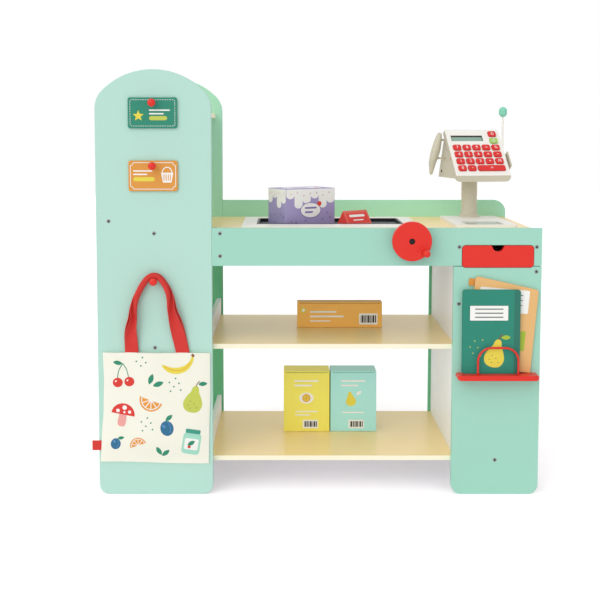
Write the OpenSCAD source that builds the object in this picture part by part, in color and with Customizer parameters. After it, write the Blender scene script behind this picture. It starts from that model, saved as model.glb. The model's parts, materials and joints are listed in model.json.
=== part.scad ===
/* [Stall] */
// Width of the open bay between the tower and the cabinet
bay_w = 432; // [417:1:537]
// Depth from the front faces to the back faces of the uprights
stall_d = 340; // [330:1:420]
// Height of the counter's top surface
counter_h = 480; // [470:1:540]
// Thickness of the painted upright panels
panel_t = 12; // [10:0.5:15]
// Thickness of the boards, shelves, strips and side walls
board_t = 9; // [8:0.5:12]
// Radius of the uprights' bottom corners
foot_r = 18; // [8:1:30]
// Height of the lower shelf's top surface
lower_shelf_h = 68; // [50:1:100]
// Height of the middle shelf's top surface
middle_shelf_h = 274; // [250:1:300]
// Height of the low strips that fence and brace the shelves
strip_h = 35; // [20:1:45]
// Radial play of dowels and screws in their holes
fit_gap = 0.05; // [0.02:0.01:0.1]
// Play between pieces that move past each other
run_gap = 0.3; // [0.2:0.05:0.5]

/* [Tower] */
// Width of the tower
tower_w = 206; // [190:1:230]
// Height of the tower
tower_h = 766; // [740:1:840]
// Rise of the arched top
arch_rise = 69; // [55:1:90]
// Radius of the arch's two shoulders
arch_r = 45; // [30:1:50]
// Distance from the tower's top to the top board's upper surface
top_board_drop = 73; // [66:1:106]
// Distance from the tower's edges to the ends of its boards
board_inset = 14; // [8:1:20]
// Distance from the tower's top to the peg of the upper card
upper_peg_drop = 59; // [46:1:61]
// Distance between the pegs of the two cards
card_pitch = 111; // [85:1:180]
// Height of the peg that holds the bag
bag_peg_h = 391; // [370:1:420]
// Diameter of a peg's shank
peg_d = 7; // [5:0.5:8]
// Diameter of a peg's head
peg_head_d = 14; // [11:0.5:18]
// Thickness of a peg's head
peg_head_t = 6; // [4:0.5:8]
// Length of a peg's shank in front of the panel
peg_reach = 16; // [14:0.5:24]

/* [Counter] */
// Height of the front fascia
fascia_h = 67.5; // [60:0.5:75]
// How far the fascia stands above the counter
fascia_lip = 5; // [2:0.5:10]
// How far the rear upstand stands above the counter
upstand_rise = 35; // [20:1:60]
// Radius of the upstand's free top corner
upstand_r = 25; // [5:1:30]
// Distance from the tower to the brace strip under the counter
brace_gap = 10; // [5:1:30]

/* [Cabinet] */
// Width of the cabinet
cabinet_w = 157; // [150:1:190]
// Distance from the cabinet's edges to its side walls
side_inset = 5; // [3:0.5:7]
// Width of the drawer front
drawer_w = 127.6; // [110:0.2:130]
// Height of the drawer front
drawer_h = 39.3; // [34:0.1:44]
// How far the drawer front reaches below the fascia
drawer_drop = 2.7; // [1:0.1:6]
// Radius of the drawer front's top corners
drawer_r = 6.5; // [3:0.5:10]
// Gap around the drawer front
drawer_gap = 0.8; // [0.5:0.1:1.5]
// How far the drawer front stands proud of the fascia
drawer_proud = 1; // [0:0.5:4]
// Width of the finger notch
notch_w = 21; // [16:1:30]
// Depth of the finger notch
notch_deep = 11; // [9:0.5:14]
// Depth of the drawer tray
tray_d = 240; // [180:1:270]
// Height of the drawer tray
tray_h = 25; // [16:0.5:28]
// Thickness of the tray's walls and floor
tray_t = 4; // [3:0.5:6]
// Gap between the tray and the cabinet's side walls
tray_gap = 2.5; // [1.5:0.5:4]
// Height of the tray above the cabinet's front panel
tray_lift = 3; // [1:0.5:5]
// Width and height of the runner strips under the tray
runner = 8.5; // [6:0.5:12]

/* [Document rack] */
// Distance from the fascia's lower edge to the ledge's top surface
ledge_drop = 193; // [177.5:0.5:237.5]
// Length of the ledge
ledge_w = 146; // [120:1:150]
// Depth of the ledge
ledge_d = 30; // [26:1:45]
// Thickness of the ledge
ledge_t = 9; // [8:0.5:14]
// Radius of the ledge's front corners in plan
ledge_r = 10; // [5:1:14]
// Diameter of the retaining wire
wire_d = 4; // [3:0.5:5]
// Distance between the wire's legs
wire_w = 72; // [60:1:90]
// Height of the wire above the ledge
wire_h = 50; // [40:1:70]
// Bend radius of the wire's corners
wire_r = 24; // [12:1:28]
// Distance from the cabinet to the wire
wire_stand = 18; // [16:0.5:22]
// How far the wire's legs are let into the ledge
wire_deep = 6; // [4:0.5:8]
// Width of the notebook
notebook_w = 103; // [80:1:110]
// Height of the notebook
notebook_h = 151; // [120:1:170]
// Thickness of the notebook
notebook_t = 7; // [3:0.5:9]
// Width of the folder
folder_w = 115; // [90:1:120]
// Height of the folder's right edge
folder_h = 151; // [120:1:160]
// How much taller the folder is at its left edge
folder_rise = 14; // [0:1:18]
// Thickness of the folder
folder_t = 3.6; // [2:0.2:5]
// Lean of the folder
folder_lean = 5; // [0:0.5:8]

/* [Conveyor] */
// Distance from the top plate to the cabinet
conv_end_gap = 54; // [21:1:101]
// Depth of the conveyor's top plate
conv_d = 232; // [200:1:260]
// Thickness of the top plate
conv_t = 5; // [3:0.5:8]
// Distance from the tower to the top plate
conv_gap = 51; // [40:1:60]
// Distance from the fascia's front face to the top plate
conv_y = 29; // [18:1:40]
// Distance from the plate's ends to the window over the belt
window_inset = 29.5; // [18.5:0.5:53.5]
// Width of the window over the belt
window_d = 122; // [100:1:140]
// Distance from the plate's front edge to the window
window_y = 62; // [50:1:70]
// Distance from the plate's ends to the roller axes
roller_inset = 23.5; // [23:0.5:27]
// Diameter of the rollers
roller_d = 27.4; // [20:0.2:28]
// Thickness of the belt
belt_t = 1.5; // [1:0.1:2]
// How far the belt's top lies below the counter's surface
belt_drop = 1; // [0.5:0.1:3]
// Gap between the belt's edges and the cheeks
belt_gap = 2; // [1:0.5:4]
// Diameter of the roller shafts
shaft_d = 8; // [6:0.5:10]
// Thickness of the cheeks that carry the shafts
cheek_t = 5; // [4:0.5:8]
// Diameter of the crank wheel
wheel_d = 70; // [50:1:90]
// Thickness of the crank wheel
wheel_t = 12; // [8:0.5:16]
// Distance from the fascia to the back of the crank wheel
wheel_stand = 13; // [6:0.5:20]
// Diameter of the collar behind the crank wheel
wheel_hub_d = 26; // [16:1:40]
// Diameter of the crank's grip
grip_d = 13; // [9:0.5:15]
// Length of the crank's grip
grip_l = 40; // [25:1:45]
// Distance from the crank's axis to its grip
grip_r = 28; // [16:1:28]
// Direction of the grip from the crank's axis
grip_a = -40; // [-180:1:180]

/* [Register] */
// Distance from the stall's right edge to the post's axis
post_right = 91; // [80:1:110]
// Distance from the front faces to the post's axis
post_y = 240; // [220:1:260]
// Diameter of the post
post_d = 31; // [24:1:40]
// Width of the base plate
base_w = 112; // [90:1:130]
// Length of the base plate in front of the post's axis
base_front = 200; // [150:1:202]
// Length of the base plate behind the post's axis
base_back = 22; // [20:1:30]
// Thickness of the base plate
base_t = 7; // [6:0.5:10]
// Depth of the scanning window in the base plate
pane_deep = 4.6; // [2:0.1:5]
// Width of the head
head_w = 112; // [104:1:130]
// Width of the head's rear cover
cover_w = 104; // [90:1:104]
// Height of the head's lower edge above the counter
head_lift = 80; // [70:1:100]
// Height of the lip below the key face
lip_h = 12; // [8:0.5:16]
// Distance from the post's axis to the lip
lip_reach = 75; // [60:1:85]
// Distance from the post's axis to the back of the head
head_back = 36; // [24:1:44]
// Length of the key face
face_l = 112; // [110:1:125]
// Lean of the key face from upright
face_tilt = 38; // [25:1:45]
// Thickness of the front shell
shell_t = 11; // [9:0.5:14]
// How far the rear cover's underside lies above the lip's
cover_step = 6; // [2:0.5:9]
// Turn of the head towards the right
head_yaw = 12; // [-30:1:30]
// Diameter of the swivel pin on the post
swivel_d = 16; // [10:1:20]
// Length of the swivel pin
swivel_l = 20; // [10:1:25]
// Width of a key
key_w = 16; // [12:0.5:17]
// Height of a key
key_h = 12.6; // [9:0.2:13.6]
// Distance between the keys' columns
key_dx = 20; // [19:0.5:20.5]
// Distance between the keys' rows
key_dy = 16.6; // [15.6:0.1:17]
// Height of a key above the face
key_rise = 3; // [2:0.1:5]
// Depth of a key inside the shell
key_deep = 4; // [2:0.5:5]
// Travel of a key
key_travel = 1.5; // [0.8:0.1:2]
// Play around a key
key_gap = 0.4; // [0.2:0.05:0.6]

/* [Goods] */
// Width of the tote bag
bag_w = 192; // [150:1:200]
// Height of the tote bag
bag_h = 203; // [150:1:230]
// Thickness of the hanging bag
bag_t = 14; // [6:0.5:16]
// Width of the bag's straps where they are sewn on
strap_w = 18; // [12:1:24]
// Distance between the feet of the straps
strap_span = 90; // [60:1:110]
// Drop of the bag's top edge below its peg
strap_drop = 129; // [80:1:160]
// Width of the two cards
card_w = 87; // [70:1:95]
// Height of the two cards
card_h = 54; // [40:1:60]
// Thickness of the two cards
card_t = 3; // [2:0.5:5]
// Distance from a card's top edge to its hole
card_hole = 10; // [8:0.5:14]
// Length of the dessert carton
carton_l = 108; // [80:1:110]
// Depth of the dessert carton
carton_d = 68; // [50:1:70]
// Height of the dessert carton
carton_h = 70; // [40:1:90]
// Length of the biscuit box
biscuit_l = 62; // [40:1:80]
// Width of the biscuit box across its triangle
biscuit_w = 34; // [20:1:40]
// Height of the biscuit box
biscuit_h = 28; // [16:1:40]
// Length of the long box
long_box_l = 166; // [120:1:180]
// Depth of the long box
long_box_d = 30; // [20:1:80]
// Height of the long box
long_box_h = 50; // [40:1:70]
// Width of an upright box
upright_box_w = 90; // [60:1:95]
// Depth of an upright box
upright_box_d = 55; // [30:1:80]
// Height of an upright box
upright_box_h = 120; // [80:1:140]

/* [Hidden] */
$fn = 64;

mint = "#BCE0D4";
deep_mint = "#A6D8C8";
leaf = "#93C49D";
cream = "#E3D3A4";
chalk = "#DCDEDB";
coral = "#E8463A";
ivory = "#EFEDE4";
graphite = "#5E636C";
steel = "#9A9C9C";

// Places of the boards and walls
stall_w = tower_w + bay_w + cabinet_w;
upper_peg_h = tower_h - upper_peg_drop;
top_board_h = tower_h - top_board_drop;
peg_zs = [upper_peg_h, upper_peg_h - card_pitch, bag_peg_h];
strip_inset = 4;
tower_c = tower_w / 2;
board_d = stall_d - 2 * panel_t;
back_y = stall_d - panel_t;
fascia_z = counter_h + fascia_lip - fascia_h;
counter_z = counter_h - board_t;
cab_x = stall_w - cabinet_w;
cab_c = stall_w - cabinet_w / 2;
inner_x = cab_x + side_inset;
outer_x = stall_w - side_inset - board_t;
inner_face_x = inner_x + board_t;
side_z = lower_shelf_h - board_t;
tower_strip_x = board_inset + strip_inset;
shelf_strip_x = tower_w - strip_inset - board_t;
brace_x = tower_w + brace_gap;
bay_c = (tower_w + inner_x) / 2;
ledge_h = fascia_z - ledge_drop;

// Crown radius of the three-centred arch that meets both shoulders
arch_half = tower_w / 2;
spring_z = tower_h - arch_rise;
crown_r = (pow(arch_half - arch_r, 2) + pow(arch_rise, 2) - pow(arch_r, 2)) / (2 * (arch_rise - arch_r));

// Screws: across and up, shown on the front faces and repeated on the back faces
screw_d = 4;
screw_l = 40;
screw_head_d = 7.5;
screw_head_t = 2.5;
side_screw_drop = 10.5;
inner_screw_drop = 68.5;
top_screw = [tower_c, top_board_h - board_t / 2];
counter_screw = [tower_c, counter_h - board_t / 2];
middle_screw = [tower_c, middle_shelf_h - board_t / 2];
lower_screw = [tower_c, lower_shelf_h - board_t / 2];
strip_screw = [tower_strip_x + board_t / 2, counter_h + strip_h / 2];
end_screw = [brace_x + board_t / 2, counter_h - board_t / 2];
brace_screw = [brace_x + board_t / 2, fascia_z + strip_h / 2];
inner_top_screw = [inner_x + board_t / 2, fascia_z + fascia_h / 2];
outer_top_screw = [outer_x + board_t / 2, fascia_z + fascia_h / 2];
outer_screw = [outer_x + board_t / 2, fascia_z - side_screw_drop];
inner_screw = [inner_x + board_t / 2, fascia_z - inner_screw_drop];
floor_screw = [cab_c, lower_shelf_h - board_t / 2];
tower_screws = [top_screw, counter_screw, middle_screw, lower_screw, strip_screw];
fascia_screws = [end_screw, brace_screw, inner_top_screw, outer_top_screw];
cabinet_screws = [outer_screw, inner_screw, floor_screw];

// Drawer
drawer_x = cab_c - drawer_w / 2;
drawer_z = fascia_z - drawer_drop;
tray_x = inner_face_x + tray_gap;
tray_w = outer_x - inner_face_x - 2 * tray_gap;
tray_z = fascia_z + tray_lift;
tray_y = panel_t - drawer_proud;

// Conveyor
conv_x = tower_w + conv_gap;
conv_l = bay_w - conv_gap - conv_end_gap;
window_x = conv_x + window_inset;
window_l = conv_l - 2 * window_inset;
window_front = conv_y + window_y;
idler_x = conv_x + roller_inset;
drive_x = conv_x + conv_l - roller_inset;
belt_in = roller_d / 2 + run_gap;
belt_out = belt_in + belt_t;
axis_z = counter_h - belt_drop - belt_out;
cheek_front = window_front - cheek_t;
cheek_back = window_front + window_d;
belt_y = window_front + belt_gap;
belt_w = window_d - 2 * belt_gap;
pocket_gap = 3;
front_reach = wheel_stand + wheel_t + grip_l;

// Register head, seen from its own post
post_x = stall_w - post_right;
lip_z = counter_h + head_lift;
face_z = lip_z + lip_h;
cover_z = lip_z + cover_step;
face_up = [-sin(face_tilt), cos(face_tilt)];
face_out = [cos(face_tilt), sin(face_tilt)];
face_foot = [lip_reach, face_z];
face_top = face_foot + face_l * face_up;
shell_foot = face_foot - shell_t * face_out;
shell_top = face_top - shell_t * face_out;
key_foot = 17;
key_r = 3;
pane_w = 70;
pane_l = 75;
pane_front = 15;
collar_d = 48;
collar_h = 7;

// Scanner handset: out from the cover's side, above its underside, and half its thickness there
scanner_knots = [[11, 86, 5], [18, 56, 9], [25, 31, 7.5], [28, 7, 3]];
scanner_y = 2;

// Display: offset from the middle of the face, size and seat
display_x = -14;
display_v = 90.5;
display_w = 66;
display_h = 14;
display_deep = 4;
display_t = 2;

// Microphone: its stem's foot above the cover's underside, its ball above the lip
mic_foot = 30;
mic_rise = 125;

// Goods on the rack, the pegs, the belt and the shelves
rest_gap = 0.3;
peg_hole_d = peg_d + 2;
bag_z = peg_zs[2] - strap_drop - bag_h;
belt_top = axis_z + belt_out;
carton_turn = 30;
carton_end_gap = 17.5;
carton_front_gap = 6;
carton_x = window_x + carton_end_gap + carton_d * sin(carton_turn);
carton_place = [carton_x, window_front + carton_front_gap, belt_top + rest_gap];
biscuit_turn = 40;
biscuit_pitch = 118;
biscuit_front_gap = 11;
biscuit_end_x = window_x + window_l - belt_gap - biscuit_l * cos(biscuit_turn);
biscuit_place = [min(carton_x + biscuit_pitch, biscuit_end_x), window_front + biscuit_front_gap, belt_top + rest_gap];
long_box_shift = 18.5;
long_box_y = 176;
long_box_place = [bay_c + long_box_shift - long_box_l / 2, long_box_y, middle_shelf_h + rest_gap];
upright_box_gap = 2;
upright_box_y = 170;
upright_box_place = [bay_c - upright_box_w - upright_box_gap / 2, upright_box_y, lower_shelf_h + rest_gap];
folder_y = -drawer_proud - rest_gap - folder_t;
notebook_y = folder_y - rest_gap - notebook_t;

// Moves the stall's front left corner so that the middle of its footprint is the origin
module place() {
    translate([-stall_w / 2, (front_reach - stall_d) / 2, 0]) children();
}

module round_rect(w, h, r) {
    translate([r, 0]) square([w - 2 * r, h]);
    translate([0, r]) square([w, h - 2 * r]);
    for (x = [r, w - r], y = [r, h - r]) translate([x, y]) circle(r);
}

// A rectangle whose two lower corners are round
module footed_rect(w, h, r) {
    translate([0, r]) square([w, h - r]);
    translate([r, 0]) square([w - 2 * r, h]);
    for (x = [r, w - r]) translate([x, r]) circle(r);
}

module arch_outline() {
    footed_rect(tower_w, spring_z, foot_r);
    for (x = [arch_r, tower_w - arch_r]) translate([x, spring_z]) circle(arch_r);
    translate([tower_c, tower_h - crown_r]) intersection() {
        circle(crown_r, $fn = 128);
        crown_half = (arch_half - arch_r) / (crown_r - arch_rise) * crown_r;
        polygon([[0, 0], [crown_half, crown_r], [-crown_half, crown_r]]);
    }
}

// Draws an outline across and up, and gives it depth backwards from y
module upright(y, t) {
    translate([0, y + t, 0]) rotate([90, 0, 0]) linear_extrude(t) children();
}

module board(x, w, z) {
    translate([x, panel_t, z]) cube([w, board_d, board_t]);
}

module strip(x, z) {
    translate([x, panel_t, z]) cube([board_t, board_d, strip_h]);
}

module both_faces() {
    children();
    translate([0, stall_d, 0]) mirror([0, 1, 0]) children();
}

module screw(p, gap) {
    translate([p[0], 0, p[1]]) rotate([-90, 0, 0]) {
        cylinder(h = screw_head_t, d = screw_head_d + 2 * gap);
        cylinder(h = screw_l, d = screw_d + 2 * gap);
    }
}

module screw_holes(list) {
    both_faces() for (p = list) screw(p, fit_gap);
}

// Tower
module tower_front_panel() {
    color(mint) place() difference() {
        upright(0, panel_t) arch_outline();
        screw_holes(tower_screws);
        for (z = peg_zs) peg_shank(z, fit_gap);
    }
}

module tower_back_panel() {
    color(leaf) place() difference() {
        upright(back_y, panel_t) arch_outline();
        screw_holes(tower_screws);
    }
}

module tower_top_board() {
    color(cream) place() difference() {
        board(board_inset, tower_w - 2 * board_inset, top_board_h - board_t);
        screw_holes([top_screw]);
    }
}

module peg_shank(z, gap) {
    translate([tower_c, panel_t, z]) rotate([90, 0, 0]) cylinder(h = panel_t + peg_reach, d = peg_d + 2 * gap);
}

module hanging_pegs() {
    bevel = peg_head_t / 3;
    color(coral) place() for (z = peg_zs) {
        peg_shank(z, 0);
        translate([tower_c, -peg_reach, z]) rotate([90, 0, 0]) {
            cylinder(h = peg_head_t - bevel, d = peg_head_d);
            translate([0, 0, peg_head_t - bevel]) cylinder(h = bevel, d1 = peg_head_d, d2 = peg_head_d - 2 * bevel);
        }
    }
}

// Boards between the uprights
module countertop() {
    color(cream) place() difference() {
        board(board_inset, outer_x + board_t - board_inset, counter_z);
        translate([idler_x - belt_out - pocket_gap, cheek_front - pocket_gap, counter_z - 1])
            cube([
                drive_x - idler_x + 2 * (belt_out + pocket_gap),
                cheek_back + cheek_t - cheek_front + 2 * pocket_gap,
                board_t + 2
            ]);
        screw_holes([counter_screw, end_screw]);
    }
}

module shelf(top, screw) {
    color(cream) place() difference() {
        board(board_inset, inner_x - board_inset, top - board_t);
        screw_holes([screw]);
    }
}

module middle_shelf() { shelf(middle_shelf_h, middle_screw); }

module lower_shelf() { shelf(lower_shelf_h, lower_screw); }

module cross_strips() {
    color(chalk) place() difference() {
        union() {
            strip(tower_strip_x, counter_h);
            strip(shelf_strip_x, middle_shelf_h);
            strip(shelf_strip_x, lower_shelf_h);
            strip(brace_x, fascia_z);
        }
        screw_holes([strip_screw, brace_screw]);
    }
}

// Counter front and back
module drawer_cutout() {
    translate([drawer_x - drawer_gap, drawer_z - drawer_gap])
        round_rect(drawer_w + 2 * drawer_gap, drawer_h + 2 * drawer_gap, drawer_r + drawer_gap);
}

module front_fascia() {
    color(deep_mint) place() difference() {
        upright(0, panel_t) difference() {
            translate([tower_w, fascia_z]) square([stall_w - tower_w, fascia_h]);
            drawer_cutout();
        }
        screw_holes(fascia_screws);
        shaft_hole(-1, panel_t + 2);
    }
}

module rear_upstand() {
    rise = fascia_h - fascia_lip + upstand_rise;
    color(leaf) place() difference() {
        upright(back_y, panel_t) translate([tower_w, fascia_z]) {
            square([stall_w - tower_w, rise - upstand_r]);
            square([stall_w - tower_w - upstand_r, rise]);
            translate([stall_w - tower_w - upstand_r, rise - upstand_r]) circle(upstand_r);
        }
        screw_holes(fascia_screws);
    }
}

// Cabinet
module cabinet_front_panel() {
    color(deep_mint) place() difference() {
        upright(0, panel_t) difference() {
            translate([cab_x, 0]) footed_rect(cabinet_w, fascia_z, foot_r);
            drawer_cutout();
        }
        screw_holes(cabinet_screws);
    }
}

module cabinet_back_panel() {
    color(leaf) place() difference() {
        upright(back_y, panel_t) translate([cab_x, 0]) footed_rect(cabinet_w, fascia_z, foot_r);
        screw_holes(cabinet_screws);
    }
}

// A side wall with the drawer's runner on its inner face
module cabinet_side(x, runner_x, screws) {
    color(chalk) place() difference() {
        union() {
            translate([x, panel_t, side_z]) cube([board_t, board_d, counter_z - side_z]);
            translate([runner_x, panel_t, tray_z - run_gap - runner]) cube([runner, board_d, runner]);
        }
        screw_holes(screws);
    }
}

module cabinet_inner_side() { cabinet_side(inner_x, inner_face_x, [inner_top_screw, inner_screw]); }

module cabinet_outer_side() { cabinet_side(outer_x, outer_x - runner, [outer_top_screw, outer_screw]); }

module cabinet_floor() {
    color(cream) place() difference() {
        board(inner_face_x, outer_x - inner_face_x, side_z);
        screw_holes([floor_screw]);
    }
}

module panel_screws() {
    color(steel) place() both_faces()
        for (p = concat(tower_screws, fascia_screws, cabinet_screws)) screw(p, 0);
}

// Drawer
module notch_outline() {
    shoulder = 3;
    top = drawer_z + drawer_h;
    translate([cab_c, top - notch_deep + notch_w / 2]) circle(d = notch_w);
    translate([cab_c, top]) difference() {
        square([notch_w + 2 * shoulder, 2 * shoulder], center = true);
        for (s = [-1, 1]) translate([s * (notch_w / 2 + shoulder), -shoulder]) circle(shoulder);
    }
}

module drawer_front() {
    color(coral) place() upright(-drawer_proud, panel_t) difference() {
        translate([drawer_x, drawer_z]) round_rect(drawer_w, drawer_h, drawer_r);
        notch_outline();
    }
}

module drawer_tray() {
    color(cream) place() translate([tray_x, tray_y, tray_z]) difference() {
        cube([tray_w, tray_d, tray_h]);
        translate([tray_t, tray_t, tray_t]) cube([tray_w - 2 * tray_t, tray_d - 2 * tray_t, tray_h]);
        finger = notch_w + 2 * tray_t;
        floor_z = drawer_z + drawer_h - notch_deep - tray_z;
        translate([(tray_w - finger) / 2, -1, floor_z]) cube([finger, tray_t + 2, tray_h]);
    }
}

// Document rack
module wire_leg_holes() {
    for (s = [-1, 1]) translate([cab_c + s * wire_w / 2, -wire_stand, ledge_h - wire_deep])
        cylinder(h = wire_deep + 1, d = wire_d + 2 * fit_gap);
}

module document_ledge() {
    edge_r = ledge_t / 2 - 0.1;
    color(coral) place() difference() {
        intersection() {
            translate([cab_c - ledge_w / 2, 0, ledge_h - ledge_t]) linear_extrude(ledge_t)
                mirror([0, 1]) translate([0, -ledge_r]) round_rect(ledge_w, ledge_d + ledge_r, ledge_r);
            upright(-ledge_d, ledge_d)
                translate([cab_c - ledge_w / 2, ledge_h - ledge_t]) round_rect(ledge_w, ledge_t, edge_r);
        }
        wire_leg_holes();
    }
}

module wire_bend() {
    rotate([90, 0, 0]) rotate_extrude(angle = 90) translate([wire_r, 0]) circle(d = wire_d, $fn = 24);
}

module retainer_wire() {
    leg = wire_h - wire_d / 2 - wire_r + wire_deep;
    color(coral) place() translate([cab_c, -wire_stand, ledge_h - wire_deep]) {
        for (s = [0, 1]) mirror([s, 0, 0]) {
            translate([wire_w / 2, 0, 0]) cylinder(h = leg, d = wire_d);
            translate([wire_w / 2 - wire_r, 0, leg]) wire_bend();
        }
        translate([wire_r - wire_w / 2, 0, leg + wire_r]) rotate([0, 90, 0])
            cylinder(h = wire_w - 2 * wire_r, d = wire_d);
    }
}

module notebook() {
    lean_left = 12;
    color("#3B8C7A") place() upright(notebook_y, notebook_t)
        translate([cab_c - notebook_w / 2 - lean_left, ledge_h + rest_gap]) round_rect(notebook_w, notebook_h, 4);
}

module folder() {
    heel = 60;
    tab_w = 10;
    tab_h = 13;
    color("#E8B878") place() upright(folder_y, folder_t)
        translate([cab_c + heel, ledge_h + rest_gap]) rotate(-folder_lean) {
            polygon([[0, 0], [0, folder_h], [-folder_w, folder_h + folder_rise], [-folder_w, 0]]);
            translate([-folder_w - tab_w, folder_h - tab_h / 4]) square([tab_w + 1, tab_h]);
        }
}

// Conveyor
module shaft_hole(y, l) {
    translate([drive_x, y, axis_z]) rotate([-90, 0, 0]) cylinder(h = l, d = shaft_d + 2 * run_gap);
}

module cheek(y) {
    half = shaft_d + 4;
    translate([idler_x - half, y, axis_z - half])
        cube([drive_x - idler_x + 2 * half, cheek_t, counter_h - axis_z + half]);
}

module conveyor_frame() {
    bed_t = 4;
    bed_clear = belt_out + pocket_gap;
    color(ivory) place() difference() {
        union() {
            translate([conv_x, conv_y, counter_h]) linear_extrude(conv_t) difference() {
                round_rect(conv_l, conv_d, 6);
                translate([window_inset, window_y]) square([window_l, window_d]);
            }
            cheek(cheek_front);
            cheek(cheek_back);
            translate([idler_x + bed_clear, cheek_front, axis_z + belt_in - run_gap - bed_t])
                cube([drive_x - idler_x - 2 * bed_clear, cheek_back + cheek_t - cheek_front, bed_t]);
        }
        for (x = [idler_x, drive_x]) translate([x, cheek_front - 1, axis_z]) rotate([-90, 0, 0])
            cylinder(h = cheek_back + cheek_t - cheek_front + 2, d = shaft_d + 2 * run_gap);
    }
}

module belt_outline(r) {
    for (x = [idler_x, drive_x]) translate([x, axis_z]) circle(r);
    translate([idler_x, axis_z - r]) square([drive_x - idler_x, 2 * r]);
}

module conveyor_belt() {
    color(graphite) place() upright(belt_y, belt_w) difference() {
        belt_outline(belt_out);
        belt_outline(belt_in);
    }
}

// A roller on its shaft, whose ends lie at two depths
module roller(x, shaft_front, shaft_back) {
    translate([x, belt_y, axis_z]) rotate([-90, 0, 0]) cylinder(h = belt_w, d = roller_d);
    translate([x, shaft_front, axis_z]) rotate([-90, 0, 0])
        cylinder(h = shaft_back - shaft_front, d = shaft_d);
}

shaft_seat = 7;
wheel_back = -wheel_stand;
wheel_front = wheel_back - wheel_t;

module drive_roller() {
    color(steel) place() roller(drive_x, wheel_back - shaft_seat, cheek_back + cheek_t);
}

module idler_roller() {
    color(steel) place() roller(idler_x, cheek_front, cheek_back + cheek_t);
}

module crank_wheel() {
    recess_d = 10;
    dome = grip_d / 2;
    color(coral) place() translate([drive_x, 0, axis_z]) rotate([90, 0, 0]) {
        difference() {
            union() {
                translate([0, 0, run_gap]) cylinder(h = wheel_stand - run_gap, d = wheel_hub_d);
                translate([0, 0, wheel_stand]) cylinder(h = wheel_t, d = wheel_d);
                rotate(grip_a) translate([grip_r, 0, wheel_stand + wheel_t]) {
                    cylinder(h = grip_l - dome, d = grip_d);
                    translate([0, 0, grip_l - dome]) sphere(d = grip_d);
                }
            }
            cylinder(h = wheel_stand + shaft_seat, d = shaft_d + 2 * fit_gap);
            translate([0, 0, wheel_stand + shaft_seat + 1]) cylinder(h = wheel_t, d = recess_d);
        }
    }
}

// Register stand and head
module register_stand() {
    post_top = cover_z - run_gap;
    color(ivory) place() translate([post_x, post_y, counter_h]) {
        difference() {
            translate([-base_w / 2, -base_front, 0]) linear_extrude(base_t)
                round_rect(base_w, base_front + base_back, 8);
            translate([-pane_w / 2, pane_front - base_front, base_t - pane_deep])
                cube([pane_w, pane_l, pane_deep + 1]);
        }
        translate([0, 0, base_t]) cylinder(h = collar_h, d1 = min(collar_d, 2 * base_back), d2 = post_d);
        cylinder(h = post_top - counter_h, d = post_d);
        cylinder(h = post_top - counter_h + swivel_l, d = swivel_d);
    }
}

module on_post() {
    place() translate([post_x, post_y, 0]) rotate(head_yaw) children();
}

// Draws a side view, forwards and up, and gives it width across the head
module across_head(w) {
    rotate([90, 0, -90]) translate([0, 0, -w / 2]) linear_extrude(w) children();
}

// Lays children on the key face: across, up the face, and out of it
module on_face() {
    on_post() translate([0, -face_foot[0], face_foot[1]]) rotate([90 - face_tilt, 0, 0]) children();
}

module register_shell() {
    heel_x = shell_foot[0] + (shell_foot[1] - lip_z) * tan(face_tilt);
    top_r = 5;
    low_r = 10;
    color(ivory) difference() {
        on_post() intersection() {
            across_head(head_w) polygon([[lip_reach, lip_z], face_foot, face_top, shell_top, [heel_x, lip_z]]);
            translate([-head_w / 2, head_back, lip_z]) rotate([90, 0, 0]) linear_extrude(lip_reach + head_back)
                union() {
                    footed_rect(head_w, face_top[1] - lip_z - top_r, low_r);
                    translate([0, low_r]) round_rect(head_w, face_top[1] - lip_z - low_r, top_r);
                }
        }
        on_face() {
            translate([display_x - display_w / 2, display_v - display_h / 2, -display_deep])
                cube([display_w, display_h, display_deep + 1]);
            for (k = keys) key_solid(k, key_gap, key_deep + key_travel + key_gap, 1);
        }
    }
}

module scanner_solid(gap) {
    for (i = [0 : len(scanner_knots) - 2]) hull() for (k = [scanner_knots[i], scanner_knots[i + 1]])
        translate([-cover_w / 2 - k[0], scanner_y, cover_z + k[1]]) sphere(k[2] + gap, $fn = 24);
}

module register_rear_cover() {
    heel_x = shell_foot[0] + (shell_foot[1] - cover_z) * tan(face_tilt);
    slot_w = 4.6;
    rail_t = 2.4;
    rail_v = 22;
    rail_l = 34;
    rail_n = 16;
    hook = 4;
    hook_reach = 20;
    hook_zs = [36, 72];
    hole_d = 6;
    color(ivory) {
        difference() {
            on_post() across_head(cover_w) polygon([shell_top, [heel_x, cover_z], [-head_back, cover_z]]);
            on_post() translate([0, 0, cover_z - 1]) cylinder(h = swivel_l + run_gap + 1, d = swivel_d + 2 * run_gap);
            on_post() translate([-cover_w / 2 - 1, head_back / 2, cover_z + 12]) rotate([0, 90, 0])
                cylinder(h = 5, d = hole_d);
        }
        on_face() translate([cover_w / 2 - 1, rail_v, -shell_t - rail_t]) {
            cube([(head_w - cover_w) / 2 + slot_w + rail_t + 1, rail_l, rail_t]);
            translate([(head_w - cover_w) / 2 + slot_w + 1, 0, 0]) cube([rail_t, rail_l, rail_n]);
        }
        on_post() difference() {
            for (z = hook_zs) translate([-cover_w / 2 - hook_reach, 0, cover_z + z])
                cube([hook_reach + 1, hook, hook]);
            scanner_solid(run_gap);
        }
    }
}

module display_window() {
    color("#8FB0A0") on_face()
        translate([display_x - display_w / 2 + fit_gap, display_v - display_h / 2 + fit_gap, -display_deep])
            cube([display_w - 2 * fit_gap, display_h - 2 * fit_gap, display_t]);
}

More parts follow.
